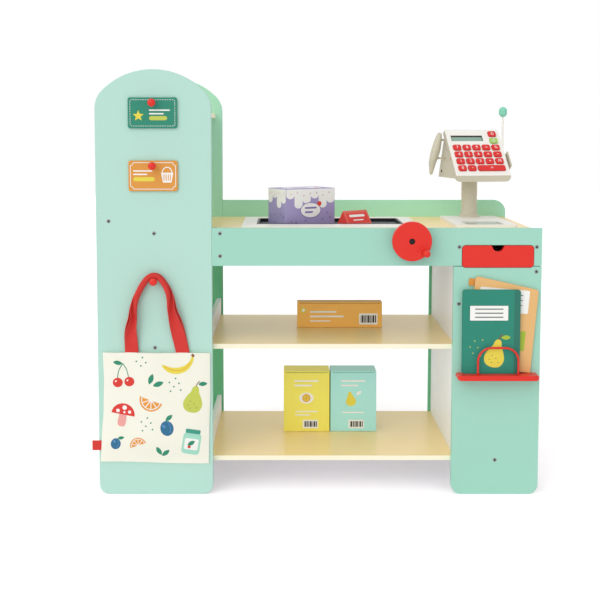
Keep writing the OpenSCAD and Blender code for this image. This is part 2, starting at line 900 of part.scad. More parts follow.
module microphone() {
    stem_d = 4;
    ball_d = 16;
    ball_l = 20;
    foot_z = cover_z + mic_foot;
    ball_z = lip_z + mic_rise;
    mic_y = -26;
    mic_x = head_w / 2 + stem_d / 2;
    color("#86D4B8") on_post() translate([mic_x, mic_y, 0]) {
        translate([0, 0, foot_z]) cylinder(h = ball_z - foot_z + ball_d / 2, d = stem_d, $fn = 24);
        for (z = [ball_d / 2, ball_l - ball_d / 2]) translate([0, 0, ball_z + z]) sphere(d = ball_d);
        translate([0, 0, ball_z + ball_d / 2]) cylinder(h = ball_l - ball_d, d = ball_d);
    }
}

module scanner_handset() {
    color(ivory) on_post() scanner_solid(0);
}

// Keys: name, column from the middle, row from the bottom, columns spanned
keys = [
    ["key_7", -2, 3, 1], ["key_8", -1, 3, 1], ["key_9", 0, 3, 1], ["key_divide", 1, 3, 1], ["key_percent", 2, 3, 1],
    ["key_4", -2, 2, 1], ["key_5", -1, 2, 1], ["key_6", 0, 2, 1], ["key_times", 1, 2, 1], ["key_minus", 2, 2, 1],
    ["key_1", -2, 1, 1], ["key_2", -1, 1, 1], ["key_3", 0, 1, 1], ["key_plus", 1, 1, 1], ["key_memory", 2, 1, 1],
    ["key_0", -2, 0, 1], ["key_point", -1, 0, 1], ["key_equals", 1, 0, 3], ["key_clear", 2, 4, 1], ["key_power", 2, 5, 1]
];

module key_solid(k, gap, deep, rise) {
    w = key_w + (k[3] - 1) * key_dx + 2 * gap;
    h = key_h + 2 * gap;
    translate([k[1] * key_dx - w / 2, key_foot + k[2] * key_dy - h / 2, -deep])
        linear_extrude(deep + rise) round_rect(w, h, key_r + gap);
}

module key(k) {
    color(k[0] == "key_clear" ? "#A8CF6A" : "#C8202A") on_face() key_solid(k, 0, key_deep, key_rise);
}

// Cards and bag on the pegs
module card(z, y) {
    hang = (peg_hole_d - peg_d) / 2 - run_gap;
    place() upright(y, card_t) translate([tower_c, z - hang]) difference() {
        translate([-card_w / 2, card_hole - card_h]) round_rect(card_w, card_h, 4);
        circle(d = peg_hole_d);
    }
}

module gift_card() { color("#2F8A72") card(peg_zs[0], -card_t - 1); }

module coupon_card() { color("#E09A45") card(peg_zs[1], -card_t - 1); }

module tote_bag() {
    loop_in = peg_d / 2 + run_gap;
    loop_out = loop_in + 5;
    strap_t = 4;
    bag_y = -bag_t - rest_gap;
    strap_y = bag_y + (bag_t - strap_t) / 2;
    color("#FBF8E4") place() {
        upright(bag_y, bag_t) translate([tower_c - bag_w / 2, bag_z]) round_rect(bag_w, bag_h, 6);
        upright(strap_y, strap_t) translate([tower_c, peg_zs[2]]) {
            difference() {
                circle(loop_out);
                circle(loop_in);
                translate([-loop_out, -2 * loop_out]) square(2 * loop_out);
            }
            for (s = [-1, 1]) polygon([
                [s * loop_out, 0], [s * loop_in, 0],
                [s * (strap_span - strap_w) / 2, -strap_drop - 1], [s * (strap_span + strap_w) / 2, -strap_drop - 1]
            ]);
        }
    }
}

// Packed goods
module dessert_carton() {
    color("#A79CC9") place() translate(carton_place) rotate(carton_turn) cube([carton_l, carton_d, carton_h]);
}

module biscuit_box() {
    color(coral) place() translate(biscuit_place) rotate(biscuit_turn) rotate([90, 0, 90])
        linear_extrude(biscuit_l) polygon([[0, 0], [biscuit_w, 0], [biscuit_w / 2, biscuit_h]]);
}

module long_box() {
    color("#E19C4B") place() translate(long_box_place) cube([long_box_l, long_box_d, long_box_h]);
}

module upright_boxes() {
    color("#E8DD62") place() translate(upright_box_place) for (i = [0, 1])
        translate([i * (upright_box_w + upright_box_gap), 0, 0]) cube([upright_box_w, upright_box_d, upright_box_h]);
}

tower_front_panel();
tower_back_panel();
tower_top_board();
countertop();
middle_shelf();
lower_shelf();
cross_strips();
front_fascia();
rear_upstand();
cabinet_front_panel();
cabinet_back_panel();
cabinet_inner_side();
cabinet_outer_side();
cabinet_floor();
hanging_pegs();
panel_screws();
document_ledge();
retainer_wire();
conveyor_frame();
conveyor_belt();
register_stand();
drawer_front();
drawer_tray();
crank_wheel();
drive_roller();
idler_roller();
register_shell();
register_rear_cover();
display_window();
microphone();
scanner_handset();
gift_card();
coupon_card();
tote_bag();
notebook();
folder();
dessert_carton();
biscuit_box();
long_box();
upright_boxes();
for (k = keys) key(k);
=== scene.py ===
"""Dresses the toy market stall. Lengths are metres in the part's own frame, unless a comment says mm."""

import json
import math

import bmesh
import bpy
from mathutils import Matrix, Vector


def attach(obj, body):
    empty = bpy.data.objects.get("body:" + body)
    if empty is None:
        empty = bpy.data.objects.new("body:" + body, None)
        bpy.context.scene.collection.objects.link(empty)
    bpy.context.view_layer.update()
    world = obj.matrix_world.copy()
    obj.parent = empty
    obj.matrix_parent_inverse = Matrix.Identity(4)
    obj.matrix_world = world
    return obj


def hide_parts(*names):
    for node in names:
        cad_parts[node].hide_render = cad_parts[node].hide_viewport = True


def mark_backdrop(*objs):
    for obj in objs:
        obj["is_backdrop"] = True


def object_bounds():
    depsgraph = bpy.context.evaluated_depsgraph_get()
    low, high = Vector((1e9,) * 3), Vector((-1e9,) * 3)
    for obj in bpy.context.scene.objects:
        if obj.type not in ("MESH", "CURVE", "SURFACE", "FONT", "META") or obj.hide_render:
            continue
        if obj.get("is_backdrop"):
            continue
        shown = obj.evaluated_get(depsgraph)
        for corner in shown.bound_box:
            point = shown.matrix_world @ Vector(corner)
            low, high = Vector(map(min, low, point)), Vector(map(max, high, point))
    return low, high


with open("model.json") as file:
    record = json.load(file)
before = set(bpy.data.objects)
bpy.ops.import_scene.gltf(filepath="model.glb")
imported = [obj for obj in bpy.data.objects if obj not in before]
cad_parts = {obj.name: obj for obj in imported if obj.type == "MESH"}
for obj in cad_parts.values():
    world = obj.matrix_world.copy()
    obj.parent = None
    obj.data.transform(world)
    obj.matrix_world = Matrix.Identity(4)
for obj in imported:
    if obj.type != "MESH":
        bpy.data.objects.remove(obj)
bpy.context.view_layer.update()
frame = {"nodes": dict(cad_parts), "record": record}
scene = bpy.context.scene
MM = 0.001
UP = Vector((0, 0, 1))
BODY = {n: b for b, nodes in frame["record"]["behaviour"]["bodies"].items() for n in nodes}

# Stall coordinates, in millimetres from the tower's front left foot: across, back and up
STALL_X, STALL_Y = -397.5, -137.5


def at(x, y, z):
    return Vector(((x + STALL_X) * MM, (y + STALL_Y) * MM, z * MM))


# Colours and node groups
def colour(code, gain=1.0):
    """A display colour such as C8202A as linear red, green, blue and alpha."""
    out = []
    for i in (0, 2, 4):
        c = int(code[i:i + 2], 16) / 255
        out.append(gain * (c / 12.92 if c <= 0.04045 else ((c + 0.055) / 1.055) ** 2.4))
    return (*out, 1.0)


def set_inputs(node, values):
    for label, value in values.items():
        node.inputs[label].default_value = value


def feed(tree, value, inlet):
    """Links a socket to an inlet, or sets the inlet to a plain number."""
    if isinstance(value, (int, float)):
        inlet.default_value = value
    else:
        tree.links.new(value, inlet)


def calc(tree, operation, *values):
    """The result of a Math node, from sockets and plain numbers."""
    node = tree.nodes.new("ShaderNodeMath")
    node.operation = operation
    for inlet, value in zip(node.inputs, values):
        feed(tree, value, inlet)
    return node.outputs[0]


def noise(tree, place, scale, detail):
    node = tree.nodes.new("ShaderNodeTexNoise")
    node.inputs["Detail"].default_value = detail
    tree.links.new(place, node.inputs["Vector"])
    feed(tree, scale, node.inputs["Scale"])
    return node.outputs["Fac"]


def bumped(tree, height, distance, strength):
    node = tree.nodes.new("ShaderNodeBump")
    node.inputs["Strength"].default_value = strength
    tree.links.new(distance, node.inputs["Distance"])
    tree.links.new(height, node.inputs["Height"])
    return node.outputs["Normal"]


def new_group(name, inputs, outputs):
    """A node group with its inner input sockets and output sockets."""
    group = bpy.data.node_groups.new(name, "ShaderNodeTree")
    for label, kind in inputs:
        group.interface.new_socket(label, in_out="INPUT", socket_type="NodeSocket" + kind)
    for label, kind in outputs:
        group.interface.new_socket(label, in_out="OUTPUT", socket_type="NodeSocket" + kind)
    return group, group.nodes.new("NodeGroupInput").outputs, group.nodes.new("NodeGroupOutput").inputs


def grain_group():
    """Soft large blotches for colour and a fine bump for the finish, from Object coordinates."""
    group, given, result = new_group(
        "surface_grain",
        [("Blotch scale", "Float"), ("Bump scale", "Float"), ("Bump depth", "Float"), ("Stretch", "Vector")],
        [("Tone", "Float"), ("Fine", "Float"), ("Normal", "Vector")])
    link = group.links.new
    stretch = group.nodes.new("ShaderNodeVectorMath")
    stretch.operation = "MULTIPLY"
    link(group.nodes.new("ShaderNodeTexCoord").outputs["Object"], stretch.inputs[0])
    link(given["Stretch"], stretch.inputs[1])
    fine = noise(group, stretch.outputs[0], given["Bump scale"], 2)
    link(noise(group, stretch.outputs[0], given["Blotch scale"], 3), result["Tone"])
    link(fine, result["Fine"])
    link(bumped(group, fine, given["Bump depth"], 0.6), result["Normal"])
    return group


def weave_group():
    """Crossing threads of a plain weave, from Object coordinates across and up the cloth."""
    group, given, result = new_group(
        "plain_weave", [("Threads per metre", "Float"), ("Depth", "Float")],
        [("Thread", "Float"), ("Normal", "Vector")])
    link = group.links.new
    place = group.nodes.new("ShaderNodeTexCoord").outputs["Object"]
    split = group.nodes.new("ShaderNodeSeparateXYZ")
    link(place, split.inputs[0])
    waves = []
    for axis in ("X", "Z"):
        count = calc(group, "MULTIPLY", split.outputs[axis], given["Threads per metre"])
        waves.append(calc(group, "SINE", calc(group, "MULTIPLY", count, math.pi)))
    slub = noise(group, place, 420, 2)
    height = calc(group, "ADD", calc(group, "MULTIPLY", *waves), slub)
    link(calc(group, "MULTIPLY_ADD", height, 0.25, 0.35), result["Thread"])
    link(bumped(group, height, given["Depth"], 0.7), result["Normal"])
    return group


GRAIN = grain_group()
WEAVE = weave_group()
# A Mix node's colour sockets: the two that go in and the one that comes out
MIX_A, MIX_B, MIX_OUT = 6, 7, 2
finishes = {}


def shader(name, group):
    """A material with a mixed colour and a node group that gives its normal."""
    mat = bpy.data.materials.new(name)
    mat.use_nodes = True
    nodes = mat.node_tree.nodes
    bsdf = nodes["Principled BSDF"]
    surface = nodes.new("ShaderNodeGroup")
    surface.node_tree = group
    mix = nodes.new("ShaderNodeMix")
    mix.data_type = "RGBA"
    mat.node_tree.links.new(mix.outputs[MIX_OUT], bsdf.inputs["Base Color"])
    mat.node_tree.links.new(surface.outputs["Normal"], bsdf.inputs["Normal"])
    finishes[name] = mat
    return mat, bsdf, surface, mix


def finish(name, code, rough=0.5, shade=0.93, blotch=9.0, bump=900.0, depth=0.04, stretch=(1, 1, 1),
           metal=0.0, coat=0.0, gloss_spread=0.08, specular=0.3):
    """A finish whose colour drifts a little between the code's and a darker shade, with a fine bump in mm."""
    mat, bsdf, surface, mix = shader(name, GRAIN)
    link = mat.node_tree.links.new
    set_inputs(surface, {"Blotch scale": blotch, "Bump scale": bump, "Bump depth": depth * MM,
                         "Stretch": stretch})
    mix.inputs[MIX_A].default_value = colour(code)
    mix.inputs[MIX_B].default_value = colour(code, shade)
    link(surface.outputs["Tone"], mix.inputs[0])
    spread = mat.node_tree.nodes.new("ShaderNodeMapRange")
    set_inputs(spread, {"To Min": rough - gloss_spread, "To Max": rough + gloss_spread})
    link(surface.outputs["Fine"], spread.inputs["Value"])
    link(spread.outputs["Result"], bsdf.inputs["Roughness"])
    set_inputs(bsdf, {"Metallic": metal, "Coat Weight": coat, "Coat Roughness": 0.25,
                      "Specular IOR Level": specular})
    return mat


def cloth(name, code, shade=0.86, threads=1500.0, depth=0.12, rough=0.9):
    """A woven finish that is darker between its threads, with the depth of the weave in mm."""
    mat, bsdf, surface, mix = shader(name, WEAVE)
    set_inputs(surface, {"Threads per metre": threads, "Depth": depth * MM})
    mix.inputs[MIX_A].default_value = colour(code, shade)
    mix.inputs[MIX_B].default_value = colour(code)
    mat.node_tree.links.new(surface.outputs["Thread"], mix.inputs[0])
    set_inputs(bsdf, {"Roughness": rough, "Sheen Weight": 0.15})
    return mat


# Meshes
def piece(name, bm, materials, body, nodes=(), smooth=40, weighted=True):
    """Makes an object of a bmesh that rides on a body and may stand for CAD nodes."""
    mesh = bpy.data.meshes.new(name)
    bm.to_mesh(mesh)
    bm.free()
    for mat in materials:
        mesh.materials.append(mat)
    obj = bpy.data.objects.new(name, mesh)
    scene.collection.objects.link(obj)
    mesh.shade_smooth()
    mesh.set_sharp_from_angle(angle=math.radians(smooth))
    if weighted:
        normals = obj.modifiers.new("weighted_normals", "WEIGHTED_NORMAL")
        normals.keep_sharp = True
    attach(obj, body)
    if nodes:
        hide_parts(*nodes)
    return obj


def stand_in(node, bm, materials, smooth=40, weighted=True):
    """The piece that stands for one CAD node, on the node's own body."""
    return piece(node + "_dressed", bm, materials, BODY[node], [node], smooth, weighted)


def copied(node):
    """A merged copy of a CAD node's mesh, with its flat faces joined again."""
    bm = bmesh.new()
    bm.from_mesh(frame["nodes"][node].data)
    bmesh.ops.remove_doubles(bm, verts=bm.verts, dist=0.000002)
    bmesh.ops.dissolve_limit(bm, angle_limit=math.radians(0.6), verts=bm.verts, edges=bm.edges)
    return bm


def sharp_edges(bm, limit=30, shortest=0.0, keep=None):
    """Edges that bend by more than a limit in degrees. keep chooses among them by their middle."""
    found = []
    for e in bm.edges:
        if len(e.link_faces) != 2 or e.calc_length() <= shortest:
            continue
        middle = (e.verts[0].co + e.verts[1].co) / 2
        if e.calc_face_angle() > math.radians(limit) and (keep is None or keep(middle)):
            found.append(e)
    return found


def rounded(bm, edges, radius, segments=2):
    bmesh.ops.bevel(bm, geom=edges, offset=radius, offset_type="OFFSET", segments=segments, profile=0.5,
                    affect="EDGES", clamp_overlap=True, material=-1)


def softened(node, radius, segments=2, shortest=0.0):
    """A copy of a CAD node with its sharp edges rounded. The radius and the shortest edge are in mm."""
    bm = copied(node)
    if radius:
        rounded(bm, sharp_edges(bm, shortest=shortest * MM), radius * MM, segments)
    return bm


def paint(bm, pick):
    """Gives each face the material whose number pick returns."""
    bm.normal_update()
    for f in bm.faces:
        f.material_index = pick(f)


def dress(node, materials, radius=0.0, segments=2, shortest=0.0, pick=None):
    """Replaces a CAD node by a copy with rounded edges. pick chooses a material for each face."""
    bm = softened(node, radius, segments, shortest)
    if pick:
        paint(bm, pick)
    stand_in(node, bm, materials)


def only(geom, kind):
    """The vertices, edges or faces of a list that an operator gave back."""
    return [g for g in geom if isinstance(g, getattr(bmesh.types, kind))]


def outward(bm):
    """Merges doubles and turns all faces outward."""
    bmesh.ops.remove_doubles(bm, verts=bm.verts, dist=0.000001)
    bmesh.ops.recalc_face_normals(bm, faces=bm.faces)


def lathe(bm, profile, place, segments=48, material=0):
    """Spins a line of (radius, height) pairs in mm a full turn round the local z axis of a matrix."""
    known = set(bm.faces)
    line = [bm.verts.new(place @ (Vector((r, 0, h)) * MM)) for r, h in profile]
    edges = [bm.edges.new(pair) for pair in zip(line, line[1:])]
    bmesh.ops.spin(bm, geom=line + edges, cent=place.translation, axis=place.to_3x3() @ UP, angle=2 * math.pi,
                   steps=segments, use_merge=True)
    for f in bm.faces:
        if f not in known:
            f.material_index = material


def grid_sheet(bm, cols, rows, place):
    """A grid moved to place(s, t), each from 0 to 1. Returns its border but for the edges at t = 1."""
    verts = set(bmesh.ops.create_grid(bm, x_segments=cols, y_segments=rows, size=0.5)["verts"])
    border = [e for e in bm.edges
              if e.is_boundary and e.verts[0] in verts and min(v.co.y for v in e.verts) < 0.499]
    for v in verts:
        v.co = place(v.co.x + 0.5, v.co.y + 0.5)
    return border


def slab(name, middle, size, radius, material, body):
    """A small block with rounded edges, in stall coordinates."""
    bm = bmesh.new()
    for v in bmesh.ops.create_cube(bm, size=1.0)["verts"]:
        v.co = at(*(m + c * s for m, c, s in zip(middle, v.co, size)))
    rounded(bm, bm.edges[:], radius * MM)
    return piece(name, bm, [material], body)


# Flat figures, in millimetres: outlines are lists of points, and figures are (points, faces)
def move(points, x, y, k=1.0, turn=0):
    """Points scaled by k, turned and moved."""
    c, s = k * math.cos(math.radians(turn)), k * math.sin(math.radians(turn))
    return [(x + u * c - v * s, y + u * s + v * c) for u, v in points]


def oval(x, y, rx, ry=None, turn=0, n=32, start=0, end=360):
    """An ellipse or a part of one."""
    ry = rx if ry is None else ry
    angles = [math.radians(start + (end - start) * i / n) for i in range(n if end - start >= 360 else n + 1)]
    return move([(rx * math.cos(a), ry * math.sin(a)) for a in angles], x, y, 1, turn)


def rect(x, y, w, h, r=0.0, turn=0, n=5):
    """A rectangle about its middle, with round corners of n steps."""
    pts = []
    for k, (sx, sy) in enumerate(((1, 1), (-1, 1), (-1, -1), (1, -1))):
        for a in ([90 * k + 90 * i / n for i in range(n + 1)] if r else [90 * k + 45]):
            pts.append((sx * (w / 2 - r) + r * math.cos(math.radians(a)),
                        sy * (h / 2 - r) + r * math.sin(math.radians(a))))
    return move(pts, x, y, 1, turn)


def spline(points, steps=10, closed=False):
    """A smooth line through the points."""
    n = len(points)
    out = []
    for i in range(n if closed else n - 1):
        p = [points[(i + k) % n] if closed else points[min(max(i + k, 0), n - 1)] for k in (-1, 0, 1, 2)]
        for j in range(steps):
            t = j / steps
            out.append(tuple(0.5 * (2 * b + (c - a) * t + (2 * a - 5 * b + 4 * c - d) * t * t
                                    + (3 * b - a - 3 * c + d) * t ** 3) for a, b, c, d in zip(*p)))
    if not closed:
        out.append(tuple(points[-1]))
    return out


def area(points):
    return list(points), [list(range(len(points)))]


def stroke(points, width, closed=False):
    """A line of some width along the points."""
    n = len(points)
    left, right = [], []
    for i, (x, y) in enumerate(points):
        a = points[i - 1] if closed or i else points[i]
        b = points[(i + 1) % n] if closed or i < n - 1 else points[i]
        dx, dy = b[0] - a[0], b[1] - a[1]
        d = math.hypot(dx, dy) or 1
        nx, ny = -dy / d * width / 2, dx / d * width / 2
        left.append((x + nx, y + ny))
        right.append((x - nx, y - ny))
    faces = [[n + i, n + (i + 1) % n, (i + 1) % n, i] for i in range(n if closed else n - 1)]
    return left + right, faces


def lettering(text, size, x=0, y=0):
    """A number or sign as a flat figure, centred on a point."""
    curve = bpy.data.curves.new("sign", "FONT")
    curve.body = text
    curve.size = size
    curve.resolution_u = 3
    holder = bpy.data.objects.new("sign", curve)
    mesh = bpy.data.meshes.new_from_object(holder)
    pts = [(v.co.x, v.co.y) for v in mesh.vertices]
    faces = [list(p.vertices) for p in mesh.polygons]
    bpy.data.objects.remove(holder)
    bpy.data.curves.remove(curve)
    bpy.data.meshes.remove(mesh)
    mx, my = ((min(side) + max(side)) / 2 for side in zip(*pts))
    return [(px - mx + x, py - my + y) for px, py in pts], faces


# Prints: thin raised figures on a surface, in millimetres
PRINT_T, PRINT_SINK, PRINT_BASE, PRINT_STEP = 0.12, 0.04, 0.05, 0.1


def refine(bm, finest, passes=6):
    """Splits the edges that are longer than finest, so that a print can follow a curved surface."""
    bmesh.ops.triangulate(bm, faces=bm.faces)
    for _ in range(passes):
        long = [e for e in bm.edges if e.calc_length() > finest]
        if not long:
            break
        bmesh.ops.subdivide_edges(bm, edges=long, cuts=1)
        bmesh.ops.triangulate(bm, faces=bm.faces)


def add_print(bm, figure, where, material=0, level=0, finest=0.0, thick=PRINT_T):
    """Lays a figure on a surface. where(u, v, height) gives the place, and levels lie on each other."""
    pts, faces = figure
    part = bmesh.new()
    verts = [part.verts.new((u, v, 0)) for u, v in pts]
    for f in faces:
        part.faces.new([verts[i] for i in f])
    bmesh.ops.remove_doubles(part, verts=part.verts, dist=0.0005)
    bmesh.ops.recalc_face_normals(part, faces=part.faces)
    if sum(f.normal.z * f.calc_area() for f in part.faces) < 0:
        bmesh.ops.reverse_faces(part, faces=part.faces)
    if finest:
        refine(part, finest)
    raised = bmesh.ops.extrude_face_region(part, geom=part.faces[:])["geom"]
    bmesh.ops.translate(part, verts=only(raised, "BMVert"), vec=UP)
    bmesh.ops.recalc_face_normals(part, faces=part.faces)
    base = PRINT_BASE + level * PRINT_STEP
    for v in part.verts:
        v.co = where(v.co.x, v.co.y, base + thick if v.co.z > 0.5 else base - PRINT_SINK)
    for f in part.faces:
        f.material_index = material
    laid = bpy.data.meshes.new("print")
    part.to_mesh(laid)
    part.free()
    bm.from_mesh(laid)
    bpy.data.meshes.remove(laid)


def plane(origin, across, up):
    """A place function for a flat surface: a corner in metres and two unit directions."""
    out = across.cross(up)
    return lambda u, v, h: origin + across * (u * MM) + up * (v * MM) + out * (h * MM)


def fill(outline, ink, level=0):
    """A filled outline as an entry for a print."""
    return area(outline), ink, level


def trace(points, width, ink, level=0, closed=False):
    """A line along points as an entry for a print."""
    return stroke(points, width, closed), ink, level


def printed(name, body, entries, where, finest=0.0):
    """One piece of prints: entries are (figure, finish name, level)."""
    bm = bmesh.new()
    inks = list(dict.fromkeys(ink for _, ink, _ in entries))
    for figure, ink, level in entries:
        add_print(bm, figure, where, inks.index(ink), level, finest)
    return piece(name, bm, [finishes[n] for n in inks], body, weighted=False)


# Finishes
PAINT = dict(rough=0.5, blotch=3.0, depth=0.03)
mint = finish("mint_paint", "B9E0D3", shade=0.96, **PAINT)
deep_mint = finish("deep_mint_paint", "A3D8C5", shade=0.96, **PAINT)
leaf = finish("leaf_paint", "ADE8CA", shade=0.95, **PAINT)
# The deeper green is partly paint and partly painted shade in the bays below the counter
deep_leaf_and_shade = finish("deep_leaf_paint_and_painted_shade", "74CC9E", shade=0.95, **PAINT)
cream = finish("cream_board", "FFE2A0", rough=0.32, shade=0.95, blotch=5.0, bump=260.0, stretch=(0.12, 1, 1),
               depth=0.015, specular=0.4, gloss_spread=0.04)
pale_edge = finish("pale_edge", "FFF8DE", rough=0.55, shade=0.95, blotch=20.0)
chalk = finish("white_board", "FAFCFF", rough=0.5, shade=0.97, blotch=6.0)
coral = finish("coral_paint", "E52A1C", rough=0.38, blotch=14.0, depth=0.02, coat=0.2)
coral_wire = finish("coral_wire", "DC2C20", rough=0.32, shade=0.94, blotch=40.0, depth=0.02, coat=0.3)
# The screws' steel is darker than bare steel and their sockets near black, both as painted shade
steel = finish("screw_steel", "9DA2A3", rough=0.36, shade=0.85, blotch=200.0, bump=2400.0, depth=0.01,
               metal=1.0)
socket = finish("screw_socket_painted_shade", "404244", shade=0.8, metal=1.0)
roller = finish("roller_plastic", "8A8D90")
MOULDED = dict(blotch=20.0, bump=1800.0, depth=0.02)
ivory = finish("ivory_plastic", "F3F1EA", rough=0.42, shade=0.97, **MOULDED)
# Ivory darkened as painted shade, for the till's sides, lip, post, rear cover and handset
ivory_painted_shade = finish("ivory_plastic_painted_shade", "CFC9B4", rough=0.45, shade=0.96, **MOULDED)
rubber = finish("belt_rubber", "62666E", rough=0.68, shade=0.85, blotch=30.0, bump=1500.0, depth=0.05)
black = finish("black_plastic", "17181A", rough=0.4, shade=0.8, blotch=30.0)
glass = finish("display_grey", "8CAB9C", rough=0.12, shade=0.9, blotch=30.0, depth=0.0, coat=0.6,
               gloss_spread=0.04)
pane_glass = finish("scan_pane", "3E5E52", rough=0.08, shade=0.75, blotch=12.0, depth=0.0, coat=1.0,
                    gloss_spread=0.03)
mint_plastic = finish("mint_plastic", "86D4B8", rough=0.4, shade=0.94, blotch=40.0, depth=0.02)
KEY = dict(rough=0.35, blotch=60.0, depth=0.015, coat=0.15)
key_red = finish("key_red", "DF2A28", shade=0.9, **KEY)
key_green = finish("key_green", "A8CF6A", shade=0.92, **KEY)
for ink, code in (
        ("green_card", "2F8A72"), ("orange_card", "E09A45"), ("green_cover", "2A8874"),
        ("spine_green", "2D7565"), ("folder_card", "E9B97A"), ("folder_tab", "DB9440"),
        ("lime_ink", "A8C13E"), ("paper", "F6F4EC"), ("grey_ink", "707975"), ("lavender_card", "A79CC9"),
        ("violet_ink", "8477B4"), ("red_card", "E5433A"),
        ("rose_card", "E4695C"), ("amber_card", "FFC263"), ("rust_ink", "B8722B"), ("yellow_card", "FDF16D"),
        ("mint_card", "B3EFEA"), ("teal_ink", "3F9C86"), ("white_ink", "F7F6F2"), ("red_ink", "DD3B33"),
        ("yellow_ink", "EAD94F"), ("orange_ink", "E89A3C"), ("blue_ink", "5A8FC4"), ("navy_ink", "2F6E93"),
        ("leaf_ink", "2F8C6C"), ("olive_ink", "55734E"), ("pear_ink", "C6CF5A"), ("brown_ink", "8A5A3A"),
        ("pink_ink", "EFA7A0"), ("aqua_ink", "A5DDC9")):
    finish(ink, code, rough=0.48, shade=0.95, blotch=30.0, bump=1400.0, depth=0.02)
bag_cloth = cloth("bag_cloth", "FFFDEE")
strap_cloth = cloth("strap_cloth", "E33A33", shade=0.8, threads=1100.0, depth=0.2)

# Carcass
PANEL = dict(radius=1.3, segments=3, shortest=1.0)
BOARD = [cream, pale_edge, chalk]
BAY_TOP_Z, TRAY_RIM_Z, SEAM = 475, 440, 1.2


def board_side(f):
    """Boards have a cream top, pale edges and a white underside."""
    return 0 if f.normal.z > 0.5 else 2 if f.normal.z < -0.5 else 1


def tray_side(f):
    """The drawer's tray is cream with a pale upper rim."""
    return 1 if abs(f.normal.z) > 0.5 and f.calc_center_median().z > TRAY_RIM_Z * MM else 0


def back_panel(node, inner):
    """A back panel whose inner faces are a deeper green below the counter: partly a deeper paint, partly
    painted shade of the bays.
    """
    bm = softened(node, **PANEL)
    level = at(0, 0, BAY_TOP_Z)
    bmesh.ops.bisect_plane(bm, geom=bm.verts[:] + bm.edges[:] + bm.faces[:], plane_co=level, plane_no=UP)
    paint(bm, lambda f: 1 if f.calc_center_median().z < level.z and inner(f.normal) else 0)
    stand_in(node, bm, [leaf, deep_leaf_and_shade])


dress("tower_front_panel", [mint], **PANEL)
dress("front_fascia", [deep_mint], **PANEL)
dress("rear_upstand", [leaf], **PANEL)
back_panel("tower_back_panel", lambda n: n.y < -0.3)
back_panel("cabinet_back_panel", lambda n: n.y < -0.3 or n.x < -0.5)

# The cabinet's front leaves a narrow seam under the counter's front
front_mesh = copied("cabinet_front_panel")
front_top = max(v.co.z for v in front_mesh.verts) - 0.1 * MM
for v in front_mesh.verts:
    if v.co.z > front_top:
        v.co.z -= SEAM * MM
rounded(front_mesh, sharp_edges(front_mesh, shortest=MM), 1.0 * MM, 3)
stand_in("cabinet_front_panel", front_mesh, [deep_mint])

for board in ("tower_top_board", "countertop", "middle_shelf", "lower_shelf", "cabinet_floor"):
    dress(board, BOARD, radius=0.5, shortest=1.0, pick=board_side)
for wall in ("cross_strips", "cabinet_inner_side", "cabinet_outer_side"):
    dress(wall, [chalk], radius=0.6, shortest=1.0)
dress("document_ledge", [coral], radius=2.6, segments=4, shortest=0.6)
dress("retainer_wire", [coral_wire])
dress("drawer_front", [coral], radius=1.2, segments=3)
dress("drawer_tray", BOARD, radius=0.5, pick=tray_side)
dress("drive_roller", [roller], radius=0.4)
dress("idler_roller", [roller], radius=0.4)
dress("conveyor_frame", [ivory], radius=1.0, segments=3, shortest=0.5)

# Pegs with domed heads
PEG_X, PEG_Z = 103, (707, 596, 391)
PEG_LINE = [(0, -12), (3.2, -12), (3.5, -11.6), (3.5, 15.6), (3.9, 16), (6.4, 16), (6.85, 16.5)]
KNOB_R, KNOB_RISE, KNOB_REACH = 7, 3.8, 18.2
peg_mesh = bmesh.new()
for z in PEG_Z:
    lathe(peg_mesh, PEG_LINE + oval(0, KNOB_REACH, KNOB_R, KNOB_RISE, n=10, end=90),
          Matrix.Translation(at(PEG_X, 0, z)) @ Matrix.Rotation(math.radians(90), 4, "X"))
outward(peg_mesh)
stand_in("hanging_pegs", peg_mesh, [coral])

# Screw heads with hexagon sockets, on the front faces and on the back faces; the steel is darkened and the
# sockets painted near black as painted shade
SCREWS = ((103, 688.5), (103, 475.5), (103, 269.5), (103, 63.5), (22.5, 497.5), (220.5, 475.5), (220.5, 435),
          (647.5, 451.25), (785.5, 451.25), (785.5, 407), (647.5, 349), (716.5, 63.5))
FRONT_Y, BACK_Y = 0, 340
HEAD_R, HEX_R, HEAD_TOP, HEAD_FOOT, SOCKET_FOOT = 3.7, 2.1, 0.25, -1.5, -1.3


def highest(bm):
    """The face that lies highest."""
    return max(bm.faces, key=lambda f: f.calc_center_median().z)


def screw_head(bm):
    """A flat head with a round rim and a hexagon socket, which looks up from the origin."""
    bmesh.ops.create_cone(bm, cap_ends=True, segments=24, radius1=HEAD_R * MM, radius2=HEAD_R * MM,
                          depth=(HEAD_TOP - HEAD_FOOT) * MM,
                          matrix=Matrix.Translation(UP * (HEAD_TOP + HEAD_FOOT) / 2 * MM))
    rounded(bm, highest(bm).edges[:], 0.3 * MM)
    top = highest(bm)
    rim = top.edges[:]
    bmesh.ops.delete(bm, geom=[top], context="FACES_ONLY")
    corners = bmesh.ops.create_circle(bm, segments=6, radius=HEX_R * MM,
                                      matrix=Matrix.Translation(UP * HEAD_TOP * MM))["verts"]
    mouth = [e for e in bm.edges if e.verts[0] in corners]
    bmesh.ops.bridge_loops(bm, edges=rim + mouth)
    walls = bmesh.ops.extrude_edge_only(bm, edges=mouth)["geom"]
    bmesh.ops.translate(bm, verts=only(walls, "BMVert"), vec=UP * (SOCKET_FOOT - HEAD_TOP) * MM)
    base = bmesh.ops.edgeloop_fill(bm, edges=[e for e in only(walls, "BMEdge") if e.is_boundary])["faces"]
    # The socket's walls and base are painted dark as painted shade
    for f in base + only(walls, "BMFace"):
        f.material_index = 1


